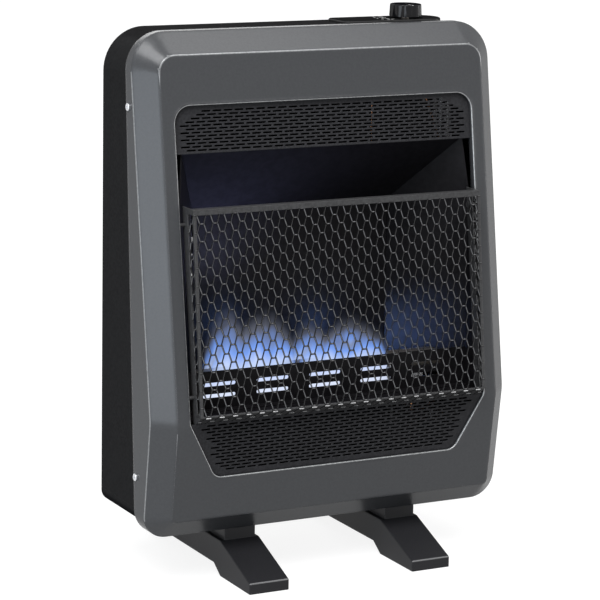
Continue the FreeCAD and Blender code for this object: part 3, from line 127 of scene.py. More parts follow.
def choose(piece: Piece, test: Callable[[Vector], bool]) -> None:
    """Select the vertices of an opened piece by their place.

    Args:
        piece: piece in edit mode.
        test: says for a place whether its vertex is selected.
    """
    shape = bmesh.from_edit_mesh(piece.data)
    for vertex in shape.verts:
        vertex.select = test(vertex.co)
    shape.select_flush(True)
    shape.select_flush(False)
    bmesh.update_edit_mesh(piece.data)


def thicken(height: float) -> None:
    """Give an opened flat piece its thickness.

    Args:
        height: its thickness, upwards where it is positive.
    """
    bpy.ops.mesh.select_all(action="SELECT")
    bpy.ops.mesh.extrude_region_move(TRANSFORM_OT_translate={"value": (0.0, 0.0, height)})
    bpy.ops.mesh.select_all(action="SELECT")
    bpy.ops.mesh.normals_make_consistent(inside=False)


def settle(piece: Piece, place: Matrix) -> None:
    """Put a piece in place and move that place into its mesh.

    Args:
        piece: piece modelled at the origin.
        place: where it goes in the row frame.
    """
    activate(piece)
    piece.matrix_world = place
    bpy.ops.object.transform_apply(location=True, rotation=True, scale=True)


def repeat(piece: Piece, step: Point, count: int) -> None:
    """Copy a piece in a straight row with an array that is applied.

    Args:
        piece: piece to repeat.
        step: offset from one copy to the next, in metres.
        count: how many stand in the row.
    """
    activate(piece)
    row = piece.modifiers.new("row", "ARRAY")
    row.use_relative_offset = False
    row.use_constant_offset = True
    row.constant_offset_displace = step
    row.count = count
    bpy.ops.object.modifier_apply(modifier=row.name)


def join(pieces: list[Piece], name: str) -> Piece:
    """Join pieces into one mesh.

    Args:
        pieces: pieces to join, the first of which stays.
        name: name of the joined piece.

    Returns:
        The joined piece.
    """
    deselect()
    for piece in pieces:
        piece.select_set(True)
    bpy.context.view_layer.objects.active = pieces[0]
    if len(pieces) > 1:
        bpy.ops.object.join()
    pieces[0].name = name
    pieces[0].data.name = name
    return pieces[0]


def trim(piece: Piece, at: Point, outward: Point) -> None:
    """Cut away and close what lies outward of a plane through a point."""
    with editing(piece):
        bpy.ops.mesh.bisect(plane_co=at, plane_no=outward, use_fill=True, clear_outer=True)


def hand_over(piece: Piece, body: Body, material: Material) -> None:
    """Dress a finished piece and tie it to its body.

    Args:
        piece: finished piece with its place in its mesh.
        body: body that it moves with.
        material: its finish.
    """
    piece.data.materials.clear()
    piece.data.materials.append(material)
    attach(piece, body.value)
    LOG.info("%s: %d faces on %s", piece.name, len(piece.data.polygons), body.value)


# Finishes

class Bench:
    """Lays out the nodes of one material or world.

    Attributes:
        owner: the material or world.
        tree: its nodes.
        output: its last node.
    """

    EASING_SAMPLES = 6
    # Cosines of the turn of an eased edge where the painted edge highlight and wear are full and where they
    # end
    RUBBED_FULL = 0.76
    RUBBED_END = 0.90
    # Blender's numbers of a Mix node's colour sockets
    FIRST_COLOUR = 6
    SECOND_COLOUR = 7
    MIXED_COLOUR = 2

    def __init__(self, owner: Material | bpy.types.World, last: str = "OutputMaterial") -> None:
        """Start with nothing but the last node.

        Args:
            owner: new material or world.
            last: type of its last node.
        """
        owner.use_nodes = True
        self.owner = owner
        self.tree = owner.node_tree
        self.tree.nodes.clear()
        self.output = self.add(last)

    def add(self, kind: str, inputs: dict[str | int, Any] | None = None,
            **settings: Any) -> bpy.types.Node:
        """Add a node.

        Args:
            kind: Blender's name of the node type after its first two words.
            inputs: sockets and values that go into it, by the name or number of the input.
            settings: properties set on it.

        Returns:
            The new node.
        """
        node = self.tree.nodes.new(f"ShaderNode{kind}")
        for key, value in settings.items():
            setattr(node, key, value)
        for key, value in (inputs or {}).items():
            if isinstance(value, Socket):
                self.tree.links.new(value, node.inputs[key])
            elif node.inputs[key].type == "RGBA":
                node.inputs[key].default_value = (*value, 1.0)
            else:
                node.inputs[key].default_value = value
        return node

    def close(self, shader: Socket) -> Any:
        """Show a shader as the surface of the material or world, which is then finished."""
        self.tree.links.new(shader, self.output.inputs["Surface"])
        return self.owner

    def noise(self, scale: Point, detail: float) -> Socket:
        """Noise pattern on Object coordinates.

        Args:
            scale: features per metre along each axis.
            detail: octaves of the noise.

        Returns:
            Its value from 0 to 1.
        """
        places = self.add("TexCoord").outputs["Object"]
        spread = self.add("Mapping", {"Vector": places, "Scale": scale}).outputs["Vector"]
        return self.add("TexNoise", {"Vector": spread, "Scale": 1.0, "Detail": detail}).outputs["Fac"]

    def on_map(self, axis: str) -> Socket:
        """Place on the piece's own UV map along X or Y."""
        places = self.add("UVMap").outputs["UV"]
        return self.add("SeparateXYZ", {"Vector": places}).outputs[axis]

    def off_middle(self, axis: str) -> Socket:
        """Square of how far a place lies from the middle of the UV map, which is 1 at its border."""
        across = self.sums("SUBTRACT", self.sums("MULTIPLY", self.on_map(axis), 2.0), 1.0)
        return self.sums("MULTIPLY", across, across)

    def between(self, value: Socket, low: float, high: float, start: float = 0.3,
                end: float = 0.7) -> Socket:
        """Stretch a range of a pattern, its middle unless named, to two values.

        Args:
            value: pattern from 0 to 1.
            low: value where the pattern is dark.
            high: value where it is bright.
            start: where the range starts.
            end: where the range ends.

        Returns:
            The stretched value.
        """
        ends = {"From Min": start, "From Max": end, "To Min": low, "To Max": high}
        span = self.add("MapRange", {"Value": value, **ends}, interpolation_type="SMOOTHSTEP")
        return span.outputs["Result"]

    def blend(self, factor: Socket, first: Colour | Socket, second: Colour | Socket) -> Socket:
        """Colour from the first to the second as a pattern goes from 0 to 1."""
        inputs = {0: factor, self.FIRST_COLOUR: first, self.SECOND_COLOUR: second}
        return self.add("Mix", inputs, data_type="RGBA").outputs[self.MIXED_COLOUR]

    def mix(self, factor: Socket, first: Socket, second: Socket) -> Socket:
        """Shader from the first to the second as a pattern goes from 0 to 1."""
        return self.add("MixShader", {0: factor, 1: first, 2: second}).outputs["Shader"]

    def sums(self, operation: str, first: Socket | float, second: Socket | float) -> Socket:
        """Result of one of Blender's operations on two patterns or numbers."""
        return self.add("Math", {0: first, 1: second}, operation=operation).outputs[0]

    def eased(self, radius: float) -> Socket:
        """Normal of the surface with its edges rounded over to a radius in metres."""
        return self.add("Bevel", {"Radius": radius}, samples=self.EASING_SAMPLES).outputs["Normal"]

    def edges(self, eased: Socket, share: float) -> Socket:
        """Mask of the edges, from how far an eased normal turns away from its face.

        Args:
            eased: normal of the eased surface.
            share: value right on an edge.

        Returns:
            The mask.
        """
        face = self.add("NewGeometry").outputs["True Normal"]
        turned = self.add("VectorMath", {0: eased, 1: face}, operation="DOT_PRODUCT").outputs["Value"]
        return self.between(turned, share, 0.0, self.RUBBED_FULL, self.RUBBED_END)

    def looked_at(self) -> Socket:
        """Tell the rays that show a surface from those that light one.

        Returns:
            1 for rays that show it and 0 for the others.
        """
        path = self.add("LightPath").outputs
        shown = path["Is Camera Ray"]
        for name in ("Is Glossy Ray", "Is Transmission Ray"):
            shown = self.sums("MAXIMUM", shown, path[name])
        return shown


@dataclass(frozen=True)
class SurfaceFinish:
    """Paint, metal, plastic or enamel with its fine surface.

    Attributes:
        name: name of the material.
        colour: colour of the surface.
        fleck: colour of its light specks and patches.
        grain: kind of fine surface.
        metallic: share of metallic reflection.
        roughness: middle of its roughness.
        play: how far the roughness varies.
        specular: level of its plain reflection.
        relief: height of its fine surface in metres.
        edge: radius to which its edges look eased, in metres.
        rub: width of its edges that are painted lighter, as a painted highlight and wear, in metres.
        worn: colour of those edges, a painted highlight and wear.
        wear: how far those edges take that colour.
        dull: how much of its plain reflection is lost at a grazing view.
        ridge: share of a strand's width on its UV map that keeps the colour above, a painted highlight, 1
            on a plain surface.
        flank: colour of the rest of a strand's width, a painted shade.
    """

    PATCHES_PER_METRE = (9.0, 9.0, 9.0)
    PATCH_DETAIL = 4.0
    GRAIN_DETAIL = 3.0
    GRAIN_STRENGTH = 0.6
    # Least share of the painted edge highlight and wear, where the patches are low
    LEAST_RUBBING = 0.5
    # Where the flank's painted shade is full, against where the lit ridge ends, both squared
    FLANK_START = 1.5

    name: str
    colour: Colour
    fleck: Colour
    grain: Grain = Grain.PEEL
    metallic: float = 0.0
    roughness: float = 0.4
    play: float = 0.05
    specular: float = 0.3
    relief: float = 0.00002
    edge: float = 0.0005
    rub: float = 0.0008
    worn: Colour = (0.30, 0.30, 0.31)
    wear: float = 0.0
    dull: float = 0.0
    ridge: float = 1.0
    flank: Colour = (0.006, 0.006, 0.0065)

    def tone(self, bench: Bench, fine: Socket, broad: Socket) -> Socket:
        """Colour of the surface with its specks, its edges painted lighter as a painted highlight and wear,
        and on strands its flanks painted dark as a painted shade.

        Args:
            bench: material under way.
            fine: pattern of the fine surface.
            broad: pattern of the patches.

        Returns:
            The colour.
        """
        plain = bench.blend(bench.between(fine, 0.0, 1.0), self.colour, self.fleck)
        # Edges painted lighter: a painted edge highlight, and wear
        edges = bench.edges(bench.eased(self.rub), self.wear)
        highlight_and_wear_mask = bench.sums("MULTIPLY", edges, bench.between(broad, self.LEAST_RUBBING, 1.0))
        tone = bench.blend(highlight_and_wear_mask, plain, self.worn)
        # A strand's lit ridge keeps the colour as a painted highlight, and its flanks are painted dark as a
        # painted shade
        if self.ridge < 1.0:
            end = self.ridge**2
            flank_shade_mask = bench.between(bench.off_middle("Y"), 0.0, 1.0, end, self.FLANK_START * end)
            tone = bench.blend(flank_shade_mask, tone, self.flank)
        return tone

    def make(self) -> Material:
        """Build the material.

        Returns:
            The finished material.
        """
        bench = Bench(bpy.data.materials.new(self.name))
        fine = bench.noise(self.grain.value, self.GRAIN_DETAIL)
        broad = bench.noise(self.PATCHES_PER_METRE, self.PATCH_DETAIL)
        gloss: Socket | float = self.specular
        if self.dull > 0.0:
            facing = bench.add("LayerWeight").outputs["Facing"]
            gloss = bench.between(facing, self.specular, self.specular * (1.0 - self.dull))
        bump = bench.add("Bump", {"Strength": self.GRAIN_STRENGTH, "Distance": self.relief, "Height": fine,
                                  "Normal": bench.eased(self.edge)})
        shader = bench.add("BsdfPrincipled", {
            "Base Color": self.tone(bench, fine, broad),
            "Roughness": bench.between(broad, self.roughness - self.play, self.roughness + self.play),
            "Metallic": self.metallic, "Specular IOR Level": gloss, "Normal": bump.outputs["Normal"]})
        return bench.close(shader.outputs["BSDF"])


@dataclass(frozen=True)
class FlameFinish:
    """Glowing gas that is clear where it is thin, laid out on the piece's own UV map.

    Attributes:
        name: name of the material.
        tip: colour of the thin outer flame.
        heart: colour of the middle.
        base: colour of the hottest part.
        strength: brightness of the hottest part.
        full: share of its height up to which it is thick.
        fade: power with which it thins out above that.
        sides: power with which it thins out sideways.
        body: how much of what lies behind the thickest part is hidden.
    """

    STREAKS_PER_METRE = (75.0, 30.0, 9.0)
    STREAK_DETAIL = 2.0
    # Shares of the height, or of its thick part, by which the streaks move it and its colours change
    WAVER = 0.05
    CLEAR_FROM = 0.95
    BASE_END = 0.5
    HEART_RISE = 0.06
    TIP_START = 0.34
    TIP_RISE = 0.8

    name: str
    tip: Colour
    heart: Colour
    base: Colour
    strength: float
    full: float
    fade: float
    sides: float
    body: float

    def make(self) -> Material:
        """Build the material.

        Returns:
            The finished material.
        """
        bench = Bench(bpy.data.materials.new(self.name))
        inside = bench.sums("POWER", bench.sums("SUBTRACT", 1.0, bench.off_middle("X")), self.sides)
        streaks = bench.noise(self.STREAKS_PER_METRE, self.STREAK_DETAIL)
        lift = bench.between(streaks, -self.WAVER, self.WAVER)
        height = bench.sums("ADD", bench.on_map("Y"), lift)
        thin = bench.between(height, 1.0, 0.0, self.full, self.CLEAR_FROM)
        heat = bench.sums("MULTIPLY", inside, bench.sums("POWER", thin, self.fade))
        ramp = bench.add("ValToRGB", {"Fac": height})
        stops = ramp.color_ramp.elements
        stops[0].color = (*self.base, 1.0)
        stops[0].position = self.full * self.BASE_END
        stops[1].color = (*self.tip, 1.0)
        stops[1].position = self.TIP_START + self.full * self.TIP_RISE
        stops.new(self.full + self.HEART_RISE).color = (*self.heart, 1.0)
        glow = bench.add("Emission", {"Color": ramp.outputs["Color"], "Strength": self.strength})
        clear = bench.add("BsdfTransparent").outputs["BSDF"]
        thick = bench.sums("MULTIPLY", heat, self.body)
        return bench.close(bench.mix(thick, clear, glow.outputs["Emission"]))


@dataclass(frozen=True)
class GroundFinish:
    """White floor that keeps the shadow of what stands on it.

    Attributes:
        name: name of the material.
        catch: how much of its white comes from the lamps and so shows shadow.
        own: how much of its white is its own.
        bounce: how much light it throws back up.
    """

    name: str = "studio_floor"
    catch: float = 0.22
    own: float = 0.87
    bounce: float = 0.3

    def make(self) -> Material:
        """Build the material.

        Returns:
            The finished material.
        """
        bench = Bench(bpy.data.materials.new(self.name))
        seen, plain = (bench.add("BsdfDiffuse", {"Color": (grey, grey, grey)}).outputs["BSDF"]
                       for grey in (self.catch, self.bounce))
        own = bench.add("Emission", {"Color": WHITE, "Strength": self.own}).outputs["Emission"]
        white = bench.add("AddShader", {0: seen, 1: own}).outputs["Shader"]
        return bench.close(bench.mix(bench.looked_at(), plain, white))


# The lighter colours on the finishes' edges are a painted edge highlight, and wear
FINISHES: dict[str, SurfaceFinish] = {
    "housing_paint": SurfaceFinish(
        "housing_paint", (0.050, 0.052, 0.056), (0.055, 0.057, 0.061), metallic=0.1, roughness=0.26,
        play=0.008, specular=0.3, edge=0.0045, rub=0.0009, worn=(0.45, 0.46, 0.48), wear=0.85, dull=0.85),
    "cabinet_black": SurfaceFinish(
        "cabinet_black", (0.0130, 0.0130, 0.0136), (0.0180, 0.0180, 0.0187), roughness=0.3, specular=0.02,
        edge=0.0009, worn=(0.08, 0.08, 0.08), wear=0.4, dull=1.0),
    "grille_black": SurfaceFinish(
        "grille_black", (0.020, 0.020, 0.022), (0.032, 0.032, 0.035), roughness=0.42, specular=0.1,
        worn=(0.12, 0.12, 0.13), wear=0.4),
    "guard_black": SurfaceFinish(
        "guard_black", (0.042, 0.042, 0.043), (0.062, 0.062, 0.064), metallic=0.2, roughness=0.34,
        specular=0.22, edge=0.0004, worn=(0.20, 0.20, 0.205), wear=0.4, dull=0.7),
    "zinc": SurfaceFinish(
        "zinc_plate", (0.56, 0.57, 0.60), (0.74, 0.75, 0.77), Grain.CAST, 1.0, 0.3, edge=0.0003),
    "firebox_enamel": SurfaceFinish(
        "firebox_enamel", (0.0066, 0.0062, 0.0072), (0.0098, 0.0093, 0.0106), Grain.GLAZED,
        roughness=0.42, specular=0.08, dull=0.6),
    "burner_steel": SurfaceFinish(
        "burner_steel", (0.20, 0.19, 0.18), (0.30, 0.27, 0.24), Grain.BRUSHED, 1.0, 0.45),
    "brass": SurfaceFinish(
        "machined_brass", (0.60, 0.42, 0.14), (0.72, 0.54, 0.22), Grain.BRUSHED, 1.0, 0.3),
    # The aluminium parts inside the heater are painted dark, a painted shade for the shade that falls
    # inside it
    "cast_aluminium": SurfaceFinish(
        "cast_aluminium", (0.15, 0.15, 0.155), (0.24, 0.24, 0.245), Grain.CAST, 1.0, 0.5, relief=0.00006),
    "aluminium_tube": SurfaceFinish(
        "drawn_aluminium", (0.20, 0.20, 0.205), (0.30, 0.30, 0.305), Grain.BRUSHED, 1.0, 0.46),
    "copper_lead": SurfaceFinish(
        "drawn_copper", (0.50, 0.22, 0.11), (0.62, 0.33, 0.18), Grain.BRUSHED, 1.0, 0.34),
    "lead_rubber": SurfaceFinish(
        "silicone_sleeve", (0.020, 0.020, 0.020), (0.034, 0.034, 0.034), Grain.MOULDED, roughness=0.6),
    "electrode_ceramic": SurfaceFinish(
        "white_ceramic", (0.70, 0.68, 0.64), (0.80, 0.79, 0.76), Grain.GLAZED, roughness=0.28,
        specular=0.5),
    "knob_plastic": SurfaceFinish(
        "knob_gloss", (0.0030, 0.0030, 0.0040), (0.0060, 0.0060, 0.0072), Grain.GLAZED, roughness=0.12,
        specular=0.22, worn=(0.16, 0.16, 0.165), wear=0.4, dull=1.0),
    "panel_plastic": SurfaceFinish(
        "panel_satin", (0.0085, 0.0085, 0.0090), (0.014, 0.014, 0.0145), Grain.MOULDED, roughness=0.4,
        specular=0.16, worn=(0.10, 0.10, 0.10), wear=0.5, dull=1.0),
    "foot_plastic": SurfaceFinish(
        "foot_moulding", (0.0100, 0.0100, 0.0115), (0.018, 0.018, 0.020), Grain.MOULDED, roughness=0.38,
        specular=0.2, relief=0.00004, edge=0.0016, rub=0.0010, worn=(0.30, 0.30, 0.305), wear=0.4,
        dull=0.75),
}
INK = SurfaceFinish("dial_ink", (0.62, 0.62, 0.62), (0.74, 0.74, 0.73), roughness=0.5)
# Guard strands: the light colour on the ridge is a painted highlight, and the dark flanks are a painted
# shade
WEAVE = SurfaceFinish(
    "guard_strands", (0.115, 0.115, 0.118), (0.16, 0.16, 0.163), roughness=0.36, specular=0.1,
    edge=0.0001, dull=1.0, ridge=0.45)
# Bonds of the guard's folded foot, painted light as painted glints
HEM_GLINTS = SurfaceFinish(
    "hem_bond_glints", (0.26, 0.26, 0.265), (0.44, 0.44, 0.445), Grain.CAST, metallic=0.5, roughness=0.3,
    specular=0.4, edge=0.0002)
# Creases of the housing painted light: a painted highlight
CREASE_HIGHLIGHT = SurfaceFinish(
    "crease_highlight", (0.17, 0.175, 0.18), (0.24, 0.245, 0.25), metallic=0.35, roughness=0.26,
    specular=0.5, edge=0.0002)
# Rolled edge of the opening painted light: a painted highlight
RIM_HIGHLIGHT = SurfaceFinish(
    "rim_highlight", (0.24, 0.245, 0.25), (0.36, 0.365, 0.37), metallic=0.5, roughness=0.26, specular=0.5,
    edge=0.0002)
# Bends of the feet painted pale: a painted highlight, and wear
TOE_HIGHLIGHT_AND_WEAR = SurfaceFinish(
    "toe_highlight_and_wear", (0.11, 0.11, 0.112), (0.16, 0.16, 0.162), Grain.MOULDED, roughness=0.3, edge=0.0002)
CURTAIN = FlameFinish(
    "flame_curtain", tip=(0.13, 0.14, 0.18), heart=(0.19, 0.36, 0.90), base=(0.56, 0.68, 0.99),
    strength=1.0, full=0.31, fade=1.7, sides=0.6, body=0.9)
RIBBON = FlameFinish(
    "flame_ribbon", tip=(0.10, 0.18, 0.50), heart=(0.52, 0.64, 1.0), base=(0.74, 0.81, 1.0),
    strength=1.0, full=0.9, fade=0.4, sides=0.16, body=1.0)


# Guard

class Strands(Enum):
    """Strands that a stretch of the guard's sheet is made of."""

    ALL = "all"
    SLANTED = "slanted"
    HEM_BONDS = "hem bonds"


@dataclass
class GuardWeave:
    """Expanded-metal sheet of the guard: six-sided cells of turned strands, with folded foot and sides.

    Attributes:
        half_width: half the width of its front.
        side_return: how far its sides are folded back.
        low: height of the fold at its foot.
        high: height of its top edge.
        front_low: depth of its front plane at the fold.
        front_high: depth of its front plane at the height below.
        front_high_at: height at which that depth is measured.
        hem_back: depth of the rear edge of the folded foot.
        hem_low: height of that edge.
        pitch_x: width from cell to cell.
        pitch_z: height from cell to cell.
        first_cell: height of the middle of the lowest row of cells over the fold.
        bond: length of the short level bonds.
        strand: width of a strand.
        thick: thickness of the sheet.
        tilt: how far the slanted strands are turned out of the sheet.
        bond_tilt: how far the bonds are turned.
        hem_bond_tilt: how far the bonds of the folded foot are turned.
        stand_off: how far it stands before its front plane.
        spare: cells past each edge that are cut away.
    """

    half_width: float = 165.7 * MM
    side_return: float = 14.0 * MM
    low: float = 185.0 * MM
    high: float = 388.0 * MM
    front_low: float = -119.15 * MM
    front_high: float = -95.84 * MM
    front_high_at: float = 393.0 * MM
    hem_back: float = -106.3 * MM
    hem_low: float = 176.3 * MM
    pitch_x: float = 15.0 * MM
    pitch_z: float = 17.5 * MM
    first_cell: float = 1.6 * MM
    bond: float = 4.6 * MM
    strand: float = 1.6 * MM
    thick: float = 0.7 * MM
    tilt: float = math.radians(35.0)
    bond_tilt: float = math.radians(30.0)
    hem_bond_tilt: float = math.radians(105.0)
    stand_off: float = 0.1 * MM
    spare: int = 1

    @property
    def lean(self) -> float:
        """Angle by which the front leans back."""
        return math.atan2(self.front_high - self.front_low, self.front_high_at - self.low)

    def strand_piece(self, start: Vector, end: Vector, tilt: float) -> Piece:
        """Model one flat strand between two corners of a cell.

        Args:
            start: corner in the sheet.
            end: next corner in the sheet.
            tilt: how far its face turns towards the strand's upper side.

        Returns:
            The strand in the upright plane through the origin.
        """
        along = (end - start).normalized()
        front = Vector((0.0, -1.0, 0.0))
        upper = along.cross(front)
        if upper.z < 0.0:
            upper.negate()
        normal = front * math.cos(tilt) + upper * math.sin(tilt)
        bpy.ops.mesh.primitive_plane_add(size=1.0)
        piece = bpy.context.object
        length = (end - start).length + self.strand / 2.0
        with editing(piece):
            bpy.ops.transform.resize(value=(length, self.strand, 1.0))
            thicken(-self.thick)
        axes = Matrix((along, normal.cross(along), normal)).transposed()
        settle(piece, Matrix.Translation((start + end) / 2.0) @ axes.to_4x4())
        return piece

    def flat(self, left: float, right: float, low: float, high: float, share: Strands) -> Piece:
        """Model a flat upright stretch of the sheet.

        Args:
            left: place of its left edge.
            right: place of its right edge.
            low: place of its lower edge.
            high: place of its upper edge.
            share: which of its strands are made; only with all of them is the first cell raised.

        Returns:
            The stretch in the upright plane through the origin.
        """
        pitch = self.pitch_z / math.cos(self.lean)
        first = self.first_cell / math.cos(self.lean) if share is Strands.ALL else 0.0
        rise = pitch / 2.0
        bond = self.bond / 2.0
        reach = (self.pitch_x - self.bond) / 2.0
        slanted = ((1, 2, -self.tilt), (3, 0, -self.tilt))
        sides = {Strands.ALL: ((0, 1, self.bond_tilt), *slanted), Strands.SLANTED: slanted,
                 Strands.HEM_BONDS: ((0, 1, self.hem_bond_tilt),)}
        strands: list[Piece] = []
        for x, z in ((0.0, 0.0), (self.pitch_x / 2.0, rise)):
            corners = [Vector((x - bond, 0.0, z + rise)), Vector((x + bond, 0.0, z + rise)),
                       Vector((x + reach, 0.0, z)), Vector((x - reach, 0.0, z))]
            strands += [self.strand_piece(corners[one], corners[two], tilt)
                        for one, two, tilt in sides[share]]
        sheet = join(strands, "guard_weave")
        first_column = math.floor(left / self.pitch_x) - self.spare
        first_row = math.floor(low / pitch) - self.spare
        last_column = math.ceil(right / self.pitch_x) + self.spare
        last_row = math.ceil(high / pitch) + self.spare
        repeat(sheet, (self.pitch_x, 0.0, 0.0), last_column - first_column + 1)
        repeat(sheet, (0.0, 0.0, pitch), last_row - first_row + 1)
        settle(sheet, Matrix.Translation((first_column * self.pitch_x, 0.0, first + first_row * pitch)))
        for at, outward in (((right, 0, 0), (1, 0, 0)), ((left, 0, 0), (-1, 0, 0)),
                            ((0, 0, high), (0, 0, 1)), ((0, 0, low), (0, 0, -1))):
            trim(sheet, at, outward)
        return sheet

    def build(self) -> tuple[Piece, Piece]:
        """Model the whole sheet.

        Returns:
            The sheet and the bonds of its folded foot, which carry painted glints, in the row frame.
        """
        edge = self.half_width
        hem = math.hypot(self.hem_back - self.front_low, self.low - self.hem_low)
        lean = self.lean
        down = math.atan2(self.low - self.hem_low, self.hem_back - self.front_low)
        top = (self.high - self.low) / math.cos(lean)
        front = self.flat(-edge, edge, 0.0, top, Strands.ALL)
        foot = self.flat(-edge, edge, -hem, 0.0, Strands.SLANTED)
        bonds = self.flat(-edge, edge, -hem, 0.0, Strands.HEM_BONDS)
        for piece in (foot, bonds):
            settle(piece, Matrix.Rotation(QUARTER_TURN - down + lean, 4, "X"))
        sides = [self.flat(-edge - self.side_return, -edge, 0.0, top, Strands.ALL),
                 self.flat(edge, edge + self.side_return, 0.0, top, Strands.ALL)]
        for side, hand in zip(sides, (-1.0, 1.0)):
            corner = Matrix.Translation((hand * edge, 0.0, 0.0))
            settle(side, corner @ Matrix.Rotation(hand * QUARTER_TURN, 4, "Z") @ corner.inverted())
        sheet = join([front, foot, *sides], "guard_weave")
        bonds = join([bonds], "guard_hem_bonds")
        place = Matrix.Translation((0.0, self.front_low - self.stand_off, self.low))
        for piece in (sheet, bonds):
            settle(piece, place @ Matrix.Rotation(-lean, 4, "X"))
        return sheet, bonds

    def dress(self, sheet: Piece, bonds: Piece) -> None:
        """Paint the sheet and let it stand for the plain solid.

        Args:
            sheet: finished sheet.
            bonds: bonds of its folded foot, painted light as painted glints.
        """
        hand_over(sheet, Body.HEATER, WEAVE.make())
        # The bonds of the folded foot get painted glints
        hand_over(bonds, Body.HEATER, HEM_GLINTS.make())
        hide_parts("guard_mesh")


# Flames

@dataclass(frozen=True)
class FlameLobe:
    """One rounded crest of a sheet of flame.

    Attributes:
        middle: place along the burner.
        half: half its width at the burner.
        height: its height over the burner.
        fullness: power of its outline, which is fuller where this is small.
    """

    middle: float
    half: float
    height: float
    fullness: float = 0.32

    def height_at(self, x: float) -> float:
        """Height of the crest at a place along the burner."""
        away = min(abs(x - self.middle) / self.half, 1.0)
        return self.height * (0.5 + 0.5 * math.cos(math.pi * away)) ** self.fullness


@dataclass(frozen=True)
class FlameSheet:
    """One upright sheet of flame over a stretch of the burner.

    Attributes:
        depth: place across the burner.
        bow: how far its ends fall back.
        lobes: its crests from left to right.
    """

    depth: float
    bow: float
    lobes: tuple[FlameLobe, ...]

    @classmethod
    def in_mm(cls, depth: float, bow: float, *lobes: Point) -> "FlameSheet":
        """Make a sheet from millimetres, with the middle, half width and height of each crest."""
        crests = (FlameLobe(middle * MM, half * MM, height * MM) for middle, half, height in lobes)
        return cls(depth * MM, bow * MM, tuple(crests))

    @property
    def left(self) -> float:
        """Place of its left end."""
        return min(lobe.middle - lobe.half for lobe in self.lobes)

    @property
    def right(self) -> float:
        """Place of its right end."""
        return max(lobe.middle + lobe.half for lobe in self.lobes)


@dataclass
class FlameCurtain:
    """Blue flames over the burner and the bright ribbon of flame seen through the shield's slots.

    Attributes:
        foot: height where the sheets start.
        least: height of a sheet at its ends.
        film: thickness of a sheet of flame.
        cells: divisions of a sheet.
        bow_share: share of a sheet's width over which an end falls back.
        ribbon_left: place of the ribbon's left end.
        ribbon_right: place of its right end.
        ribbon_low: height of its lower edge.
        ribbon_high: height of its upper edge.
        ribbon_depth: its place across the burner.
        sheets: sheets of flame from left to right and front to back.
    """

    foot: float = 208.0 * MM
    least: float = 3.0 * MM
    film: float = 0.3 * MM
    cells: int = 36
    bow_share: float = 1.0 / 3.0
    ribbon_left: float = -152.0 * MM
    ribbon_right: float = 79.0 * MM
    ribbon_low: float = 186.0 * MM
    ribbon_high: float = 213.0 * MM
    ribbon_depth: float = -64.5 * MM
    sheets: tuple[FlameSheet, ...] = (
        FlameSheet.in_mm(-58, 4, (-101, 26, 76), (-73, 40, 78), (-48, 24, 68)),
        FlameSheet.in_mm(-28, -7, (-95, 31, 82), (-52, 42, 76)),
        FlameSheet.in_mm(-58, 4, (-5, 20, 55), (17, 34, 52), (56, 30, 55)),
        FlameSheet.in_mm(-28, -7, (2, 32, 56), (52, 37, 58)),
    )

    def sheet(self, width: float, height: float) -> Piece:
        """Model one upright sheet whose foot is at the origin.

        Args:
            width: width of the sheet.
            height: height of the sheet.

        Returns:
            The sheet with its UV map.
        """
        bpy.ops.mesh.primitive_grid_add(x_subdivisions=self.cells, y_subdivisions=self.cells, size=1.0)
        piece = bpy.context.object
        with editing(piece):
            bpy.ops.transform.resize(value=(width, height, 1.0))
            bpy.ops.transform.translate(value=(0.0, height / 2.0, 0.0))
        settle(piece, Matrix.Rotation(QUARTER_TURN, 4, "X"))
        return piece

    def flame(self, form: FlameSheet) -> Piece:
        """Model one sheet of flame, each column of which is stretched to the flame's height there.

        Args:
            form: its crests and place.

        Returns:
            The sheet in place.
        """
        width = form.right - form.left
        middle = (form.left + form.right) / 2.0
        step = width / self.cells
        piece = self.sheet(width, 1.0)
        with editing(piece):
            for column in range(self.cells + 1):
                x = column * step - width / 2.0
                choose(piece, lambda place: abs(place.x - x) < step / 2.0)
                height = max(self.least, *(lobe.height_at(middle + x) for lobe in form.lobes))
                bpy.ops.transform.resize(value=(1.0, 1.0, height), center_override=CENTRE)
            choose(piece, lambda place: abs(place.x) > width / 2.0 - step / 2.0)
            bpy.ops.transform.translate(
                value=(0.0, form.bow, 0.0), use_proportional_edit=True,
                proportional_edit_falloff="SMOOTH", proportional_size=width * self.bow_share)
        settle(piece, Matrix.Translation((middle, form.depth, self.foot)))
        return piece

    def build(self) -> tuple[Piece, Piece]:
        """Model the curtain of flames and the ribbon.

        Returns:
            The curtain and the ribbon.
        """
        curtain = join([self.flame(form) for form in self.sheets], "flame_curtain")
        ribbon = self.sheet(self.ribbon_right - self.ribbon_left, self.ribbon_high - self.ribbon_low)
        middle = (self.ribbon_left + self.ribbon_right) / 2.0
        settle(ribbon, Matrix.Translation((middle, self.ribbon_depth, self.ribbon_low)))
        ribbon = join([ribbon], "flame_ribbon")
        for piece in (curtain, ribbon):
            activate(piece)
            film = piece.modifiers.new("film", "SOLIDIFY")
            film.thickness = self.film
            bpy.ops.object.modifier_apply(modifier=film.name)
            bpy.ops.object.shade_smooth()
        return curtain, ribbon

    def dress(self, curtain: Piece, ribbon: Piece) -> None:
        """Light the flames over the burner and the ribbon behind the shield."""
        hand_over(curtain, Body.HEATER, CURTAIN.make())
        hand_over(ribbon, Body.HEATER, RIBBON.make())


# Dial

